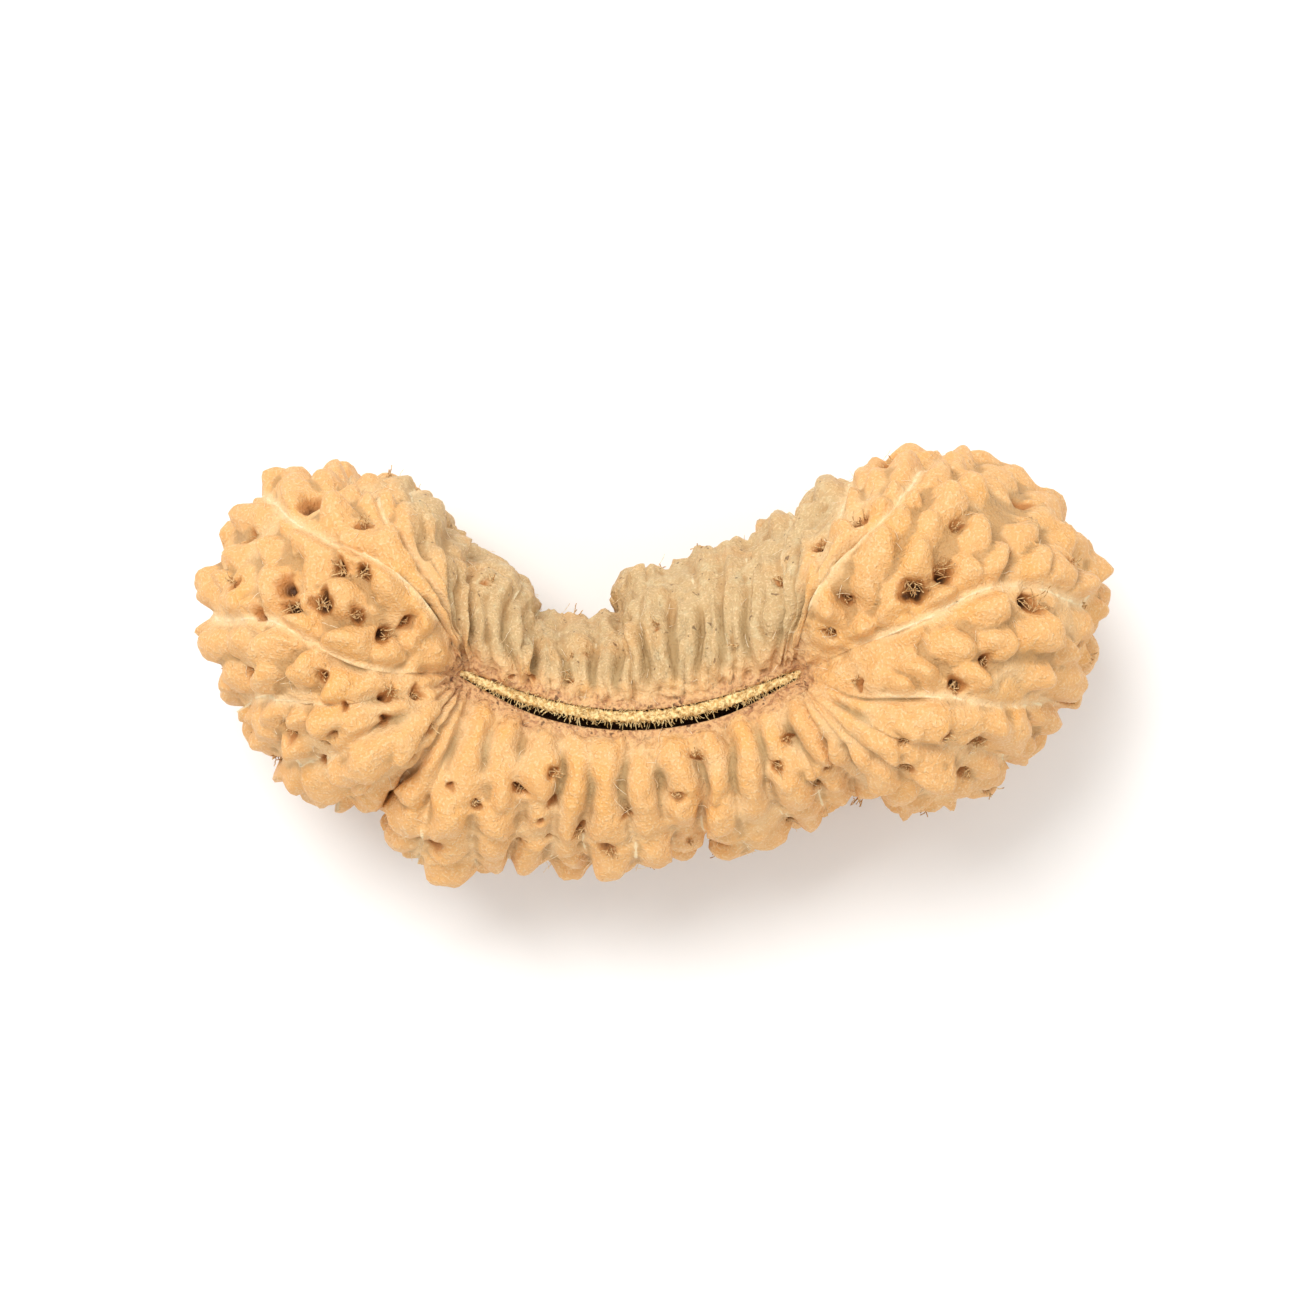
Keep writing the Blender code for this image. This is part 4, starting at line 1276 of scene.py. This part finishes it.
    def carry_measures(self, mesh: bpy.types.Mesh, placed: np.ndarray, above: int, below: int) -> None:
        """Give each vertex the measures of the grid point nearest to it.

        Args:
            mesh: The thinned mesh.
            placed: All grid points in metres.
            above: Number of rings in the upper groove.
            below: Number of rings in the lower groove.
        """
        tree = kdtree.KDTree(len(placed))
        for i, place in enumerate(placed.tolist()):
            tree.insert(place, i)
        tree.balance()
        nearest = np.array([tree.find(vertex.co)[1] for vertex in mesh.vertices])
        for name, values in self.measures.items():
            # The slits' rings take the pit measure, so they are painted dark as shade.
            groove = self.groove_shade if name == "pit" else 0.0
            sides = [np.full((len(self.u), n), groove) for n in (above, below)]
            if name == "pit":
                sides[0][:, -1] = sides[1][:, 0] = self.groove_rim
            padded = np.concatenate([sides[0], values, sides[1]], 1).ravel()
            attribute = mesh.attributes.new(name, "FLOAT", "POINT")
            attribute.data.foreach_set("value", padded[nearest].astype(np.float32))

    def at(self, u: float, v: float) -> tuple[np.ndarray, np.ndarray]:
        """Look up a place on the grown surface.

        Args:
            u: Line number.
            v: 0 at the upper lip, 1 at the lower lip.

        Returns:
            The nearest grid point in millimetres and its outward direction.
        """
        i = int(np.argmin(np.abs((self.u - u + COUNT / 2) % COUNT - COUNT / 2)))
        j = int(np.argmin(np.abs(self.v - v)))
        return self.points[i, j], self.normals[i, j]


@dataclass
class FibreField:
    """Geometry Nodes that grow one kinked, tapering fibre on every root."""

    name: str
    # Thickness and kinks in millimetres, and the sideways bend as a share of the length.
    radius: float
    kink: float
    bend: float
    seed: int
    # Kinks to the metre, and what is left of the thickness at the tip.
    kinks: float = 4200.0
    tip: float = 0.35

    def tree(self, material: bpy.types.Material) -> bpy.types.NodeTree:
        """The node tree: a bent curve on each root, kinked, then given its thickness.

        Args:
            material: The fibres' finish.

        Returns:
            The new Geometry Nodes tree.
        """
        tree = bpy.data.node_groups.new(self.name, "GeometryNodeTree")
        add = partial(add_node, tree)
        face = tree.interface
        face.new_socket("Roots", in_out="INPUT", socket_type="NodeSocketGeometry")
        for label, value in self.sizes().items():
            socket = face.new_socket(label, in_out="INPUT", socket_type="NodeSocketFloat")
            socket.default_value = value
        face.new_socket("Fibres", in_out="OUTPUT", socket_type="NodeSocketGeometry")
        start = add("NodeGroupInput").outputs
        size = add("GeometryNodeInputNamedAttribute", {"data_type": "FLOAT"}, {"Name": "size"})
        lean = add("GeometryNodeInputNamedAttribute", {"data_type": "FLOAT_VECTOR"}, {"Name": "lean"})
        half = add("ShaderNodeMath", TIMES, {0: start["Bend"], 1: 0.25})
        middle = add("ShaderNodeCombineXYZ", {}, {"X": half, "Z": 0.55})
        end = add("ShaderNodeCombineXYZ", {}, {"X": start["Bend"], "Z": 1.0})
        values = {"Resolution": 5, "Start": (0.0, 0.0, 0.0), "Middle": middle, "End": end}
        strand = add("GeometryNodeCurveQuadraticBezier", {}, values)
        turn = add("FunctionNodeAlignRotationToVector", {"axis": "Z"}, {"Vector": lean})
        values = {0: (0.0, 0.0, 0.0), 1: (0.0, 0.0, 2 * math.pi), "Seed": self.seed}
        spin = add("FunctionNodeRandomValue", {"data_type": "FLOAT_VECTOR"}, values)
        values = {"Rotation": turn, "Rotate By": spin}
        spun = add("FunctionNodeRotateRotation", {"rotation_space": "LOCAL"}, values)
        values = {"Points": start["Roots"], "Instance": strand, "Rotation": spun, "Scale": size}
        placed = add("GeometryNodeInstanceOnPoints", {}, values)
        real = add("GeometryNodeRealizeInstances", {}, {"Geometry": placed})
        along = add("GeometryNodeSplineParameter").outputs["Factor"]
        values = {"Vector": add("GeometryNodeInputPosition"), "Scale": self.kinks}
        wave = add("ShaderNodeTexNoise", {"noise_dimensions": "3D"}, values).outputs["Color"]
        centred = add("ShaderNodeVectorMath", {"operation": "SUBTRACT"}, {0: wave, 1: (0.5, 0.5, 0.5)})
        grown = add("ShaderNodeMath", TIMES, {0: along, 1: start["Kink"]})
        offset = add("ShaderNodeVectorMath", {"operation": "SCALE"}, {0: centred, "Scale": grown})
        kinked = add("GeometryNodeSetPosition", {}, {"Geometry": real, "Offset": offset})
        values = {"Value": along, 1: 0.0, 2: 1.0, 3: 1.0, 4: self.tip}
        taper = add("ShaderNodeMapRange", {}, values)
        thick = add("GeometryNodeSetCurveRadius", {}, {"Curve": kinked, "Radius": taper})
        values = {"Resolution": 3, "Radius": start["Fibre Radius"]}
        ring = add("GeometryNodeCurvePrimitiveCircle", {"mode": "RADIUS"}, values)
        values = {"Curve": thick, "Profile Curve": ring, "Fill Caps": True}
        tube = add("GeometryNodeCurveToMesh", {}, values)
        plain = add("GeometryNodeRealizeInstances", {}, {"Geometry": tube})
        dressed = add("GeometryNodeSetMaterial", {}, {"Geometry": plain, "Material": material})
        add("NodeGroupOutput", {}, {0: dressed})
        return tree

    def sizes(self) -> dict[str, float]:
        """The tree's named inputs in its own units."""
        return {"Fibre Radius": self.radius * MM, "Kink": self.kink * MM, "Bend": self.bend}

    def grow(
        self, roots: np.ndarray, lean: np.ndarray, size: np.ndarray, material: bpy.types.Material
    ) -> bpy.types.Object:
        """Grow the fibres and keep them as a plain mesh.

        Args:
            roots: Root points in metres.
            lean: Direction of each fibre.
            size: Length of each fibre in metres.
            material: The fibres' finish.

        Returns:
            The finished piece.
        """
        piece = make_object(self.name, roots, [], None)
        leans = piece.data.attributes.new("lean", "FLOAT_VECTOR", "POINT")
        leans.data.foreach_set("vector", unit(lean).astype(np.float32).ravel())
        lengths = piece.data.attributes.new("size", "FLOAT", "POINT")
        lengths.data.foreach_set("value", size.astype(np.float32))
        tree = self.tree(material)
        growth = piece.modifiers.new("fibres", "NODES")
        growth.node_group = tree
        names = {item.name: item.identifier for item in tree.interface.items_tree}
        for label, value in self.sizes().items():
            growth[names[label]] = value
        graph = bpy.context.evaluated_depsgraph_get()
        mesh = bpy.data.meshes.new_from_object(piece.evaluated_get(graph))
        piece.modifiers.remove(growth)
        piece.data = mesh
        face_outwards(mesh)
        mesh.shade_smooth()
        mount_piece(piece)
        return piece


@dataclass
class SlitStrip:
    """The fibrous edge of the seed's core, standing in a slit."""

    stone: Stone
    side: Side
    # Its reach from the slit's middle line to the hollow side and the belly, and at its ends.
    hollow_side: float = 0.40
    belly_side: float = 0.07
    end_width: float = 0.15
    # How far its top and its foot lie under the lips; the top stands a little above them.
    sunk: float = -0.08
    depth: float = 1.85
    # Its ends, where 1 is the slit's end, and its points along and around.
    end: float = 1.03
    along: int = 420
    around: int = 20
    seed: int = 5

    def spine(self, seat: np.ndarray) -> tuple[np.ndarray, np.ndarray, np.ndarray]:
        """The strip's course along the slit.

        Args:
            seat: -1 at the slit's left end, 1 at its right end.

        Returns:
            Plan centre, sideways direction and half width of the strip.
        """
        tangent = np.stack(
            [np.full_like(seat, self.stone.slit_half_length), 2 * self.stone.slit_bow * seat], -1
        )
        tangent = unit(tangent)
        normal = np.stack([-tangent[..., 1], tangent[..., 0]], -1)
        share = np.maximum(1 - seat**6, 0)[..., None]
        high = self.end_width + (self.hollow_side - self.end_width) * share
        low = self.end_width + (self.belly_side - self.end_width) * share
        centre = self.stone.slit_point(seat) + normal * (high - low) / 2
        return centre, normal, ((high + low) / 2)[..., 0]

    def build(self, material: bpy.types.Material) -> bpy.types.Object:
        """Loft the ragged strip.

        Args:
            material: Its fibre finish.

        Returns:
            The finished piece.
        """
        seat = np.linspace(-self.end, self.end, self.along)
        centre, normal, half = self.spine(seat)
        angle = np.linspace(0, 2 * math.pi, self.around, endpoint=False)
        side = np.sign(np.cos(angle)) * np.abs(np.cos(angle)) ** 0.55
        top = np.maximum(np.sin(angle), 0) ** 0.6
        plan = centre[:, None] + normal[:, None] * (half[:, None] * side)[..., None]
        drop = self.sunk + (1 - top) * 0.28
        drop = np.where(np.sin(angle) < -0.01, self.depth, drop)
        level = (self.stone.slit_height - drop) * np.ones((self.along, 1))
        points = np.concatenate([plan, level[..., None]], -1)
        rough = 0.5 * drift(points, 0.22, 2.2 * self.side.value) + 0.7 * drift(points, 0.12, 7.7)
        loose = np.where(np.sin(angle) < -0.01, 0.2, 1.0)[None, :, None]
        points = points + rough * loose * np.array([0.08, 0.15, 0.16])
        points[..., 2] *= self.side.value
        index = np.arange(points.shape[0] * points.shape[1]).reshape(points.shape[:2])
        beside = np.roll(index, -1, axis=1)
        faces = np.stack([index[:-1], index[1:], beside[1:], beside[:-1]], -1).reshape(-1, 4)
        caps = [index[0].tolist(), index[-1, ::-1].tolist()]
        name = "slit_strip_" + self.side.name.lower()
        placed = self.stone.placed(points).reshape(-1, 3)
        piece = make_object(name, placed, faces.tolist() + caps, material)
        face_outwards(piece.data)
        mount_piece(piece)
        return piece

    def fuzz(self, number: int, material: bpy.types.Material) -> bpy.types.Object:
        """Short fibres that stand off the strip and cross the dark gaps.

        Args:
            number: How many.
            material: Their finish.

        Returns:
            The finished piece.
        """
        rng = np.random.default_rng(self.seed + self.side.value)
        seat = rng.uniform(-self.end, self.end, number)
        centre, normal, half = self.spine(seat)
        offset = rng.uniform(-1, 1, number)
        plan = centre + normal * (half * offset)[:, None]
        drop = self.sunk + 0.02 + 0.25 * np.abs(offset) ** 3 + 0.5 * rng.random(number) ** 3
        level = self.side.value * (self.stone.slit_height - drop)
        roots = np.concatenate([plan, level[:, None]], -1)
        out = normal * offset[:, None] + 0.55 * rng.normal(size=(number, 2))
        up = self.side.value * rng.uniform(-0.15, 0.75, number)
        lean = np.concatenate([out, up[:, None]], -1)
        size = rng.uniform(0.18, 0.46, number) * MM
        name = "slit_fibres_" + self.side.name.lower()
        fibres = FibreField(name, radius=0.021, kink=0.22, bend=0.4, seed=self.seed)
        return fibres.grow(self.stone.placed(roots), lean, size, material)


@dataclass
class PitTufts:
    """Dry fibres curled in the mouths of the pits."""

    skin: SeedSkin
    # Share of the pits with fibres, and height over the floor below which there are none.
    share: float = 0.75
    clear_floor: float = 1.5
    seed: int = 23

    def build(self, material: bpy.types.Material) -> bpy.types.Object:
        """Root the fibres on the pit walls.

        Args:
            material: Their finish.

        Returns:
            The finished piece.
        """
        rng = np.random.default_rng(self.seed)
        roots, lean, size = [], [], []
        for u, v, radius, _ in self.skin.relief.pits:
            if rng.random() > self.share:
                continue
            centre, out = self.skin.at(u, v)
            if centre[2] < self.skin.stone.rest_level + self.clear_floor:
                continue
            side = unit(np.cross(out, np.array([0.3, 0.9, 0.2])))
            other = np.cross(out, side)
            for _ in range(int(5 + 22 * radius)):
                turn = rng.uniform(0, 2 * math.pi)
                ring = side * math.cos(turn) + other * math.sin(turn)
                height = rng.uniform(0.2, 1.5) * radius
                roots.append(centre + ring * radius * rng.uniform(0.5, 0.95) + out * height)
                inward = -ring * rng.uniform(-0.2, 1.2) + side * rng.normal() * 0.5
                lean.append(inward + out * rng.uniform(0.0, 1.0))
                size.append(rng.uniform(0.8, 2.1) * radius * MM)
        fibres = FibreField("pit_fibres", radius=0.03, kink=0.3, bend=0.6, seed=self.seed)
        placed = self.skin.stone.placed(np.array(roots))
        return fibres.grow(placed, np.array(lean), np.array(size), material)


@dataclass
class ValleyFluff:
    """Pale curled hairs left lying in the valleys and beside the grown lines."""

    skin: SeedSkin
    # How many hairs, and height over the floor below which there are none.
    number: int = 900
    clear_floor: float = 1.2
    seed: int = 31

    def build(self, material: bpy.types.Material) -> bpy.types.Object:
        """Scatter the hairs where the surface lies low.

        Args:
            material: Their finish.

        Returns:
            The finished piece.
        """
        rng = np.random.default_rng(self.seed)
        low = self.skin.measures["hollow"] ** 2 * (self.skin.measures["pit"] < 0.2)
        low = low * np.linalg.norm(np.gradient(self.skin.points, axis=0), axis=-1)
        low[:, :3] = low[:, -3:] = 0
        floor = self.skin.stone.rest_level + self.clear_floor
        low = low * (self.skin.points[..., 2] > floor)
        chance = (low / low.sum()).ravel()
        drawn = rng.choice(len(chance), self.number, p=chance)
        roots = self.skin.points.reshape(-1, 3)[drawn]
        out = self.skin.normals.reshape(-1, 3)[drawn]
        lean = rng.normal(size=out.shape)
        lean -= np.einsum("ij,ij->i", lean, out)[:, None] * out
        lean = unit(lean) + out * rng.uniform(0.1, 0.5, self.number)[:, None]
        size = rng.uniform(0.25, 0.75, self.number) * MM
        fibres = FibreField("valley_fluff", radius=0.014, kink=0.3, bend=0.5, seed=self.seed)
        return fibres.grow(self.skin.stone.placed(roots), lean, size, material)


@dataclass(frozen=True)
class Lamp:
    """A square soft light: its place and size in metres, and its power in watts."""

    name: str
    place: tuple[float, float, float]
    size: float
    power: float


@dataclass
class Studio:
    """Pale floor, broad soft light from the upper left, and the camera looking down."""

    # The camera's distance in metres from the level in focus, and the width that it sees there.
    distance: float = 0.30
    frame_width: float = 61.7
    level: float = 9.6
    aim: tuple[float, float] = (0.10, 0.35)
    sky: float = 0.84
    lamps: tuple[Lamp, ...] = (
        Lamp("key", (-0.14, 0.22, 0.58), 0.26, 2.9),
        Lamp("fill", (0.45, -0.25, 0.45), 0.50, 0.4),
    )

    def floor(self) -> None:
        """A large card under the bead."""
        corners = np.array([(-1, -1, 0), (1, -1, 0), (1, 1, 0), (-1, 1, 0)], float)
        card = make_object("floor_card", corners, [(0, 1, 2, 3)], BoardFinish().build())

    def light(self, lamp: Lamp) -> None:
        """Hang a lamp aimed at the middle of the bead.

        Args:
            lamp: The lamp to hang.
        """
        source = bpy.data.lights.new(lamp.name, "AREA")
        source.size = lamp.size
        source.energy = lamp.power
        holder = bpy.data.objects.new(lamp.name, source)
        holder.location = lamp.place
        direction = Vector((0, 0, self.level * MM)) - Vector(lamp.place)
        holder.rotation_euler = direction.to_track_quat("-Z", "Y").to_euler()
        bpy.context.scene.collection.objects.link(holder)

    def camera(self) -> None:
        """A long lens straight above the slit."""
        lens = bpy.data.cameras.new("camera")
        lens.sensor_width = 36.0
        lens.lens = lens.sensor_width * self.distance / (self.frame_width * MM)
        lens.clip_start = 0.01
        holder = bpy.data.objects.new("camera", lens)
        holder.location = (self.aim[0] * MM, self.aim[1] * MM, self.level * MM + self.distance)
        bpy.context.scene.collection.objects.link(holder)
        bpy.context.scene.camera = holder

    def build(self) -> None:
        """Set up floor, lights, sky and camera."""
        self.floor()
        for lamp in self.lamps:
            self.light(lamp)
        world = bpy.data.worlds.new("soft_sky")
        world.use_nodes = True
        sky = world.node_tree.nodes["Background"]
        sky.inputs["Color"].default_value = (1.0, 1.0, 1.0, 1.0)
        sky.inputs["Strength"].default_value = self.sky
        bpy.context.scene.world = world
        bpy.context.scene.view_settings.view_transform = "Standard"
        self.camera()
        LOG.info("studio: floor, two lights, sky and camera")


def main() -> None:
    """Load the frame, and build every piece."""
    logging.basicConfig(level=logging.INFO, format="%(name)s: %(message)s")
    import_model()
    stone = Stone()
    relief = Relief(stone)
    skin = SeedSkin(stone, relief)
    skin.build(SeedStoneFinish())
    straw = STRAW.build()
    husk = HUSK.build()
    hair = HAIR.build()
    for side, number in ((Side.UPPER, 1050), (Side.LOWER, 700)):
        strip = SlitStrip(stone, side)
        strip.build(straw)
        strip.fuzz(number, straw)
    PitTufts(skin).build(husk)
    ValleyFluff(skin).build(hair)
    Studio().build()


if __name__ == "__main__":
    main()
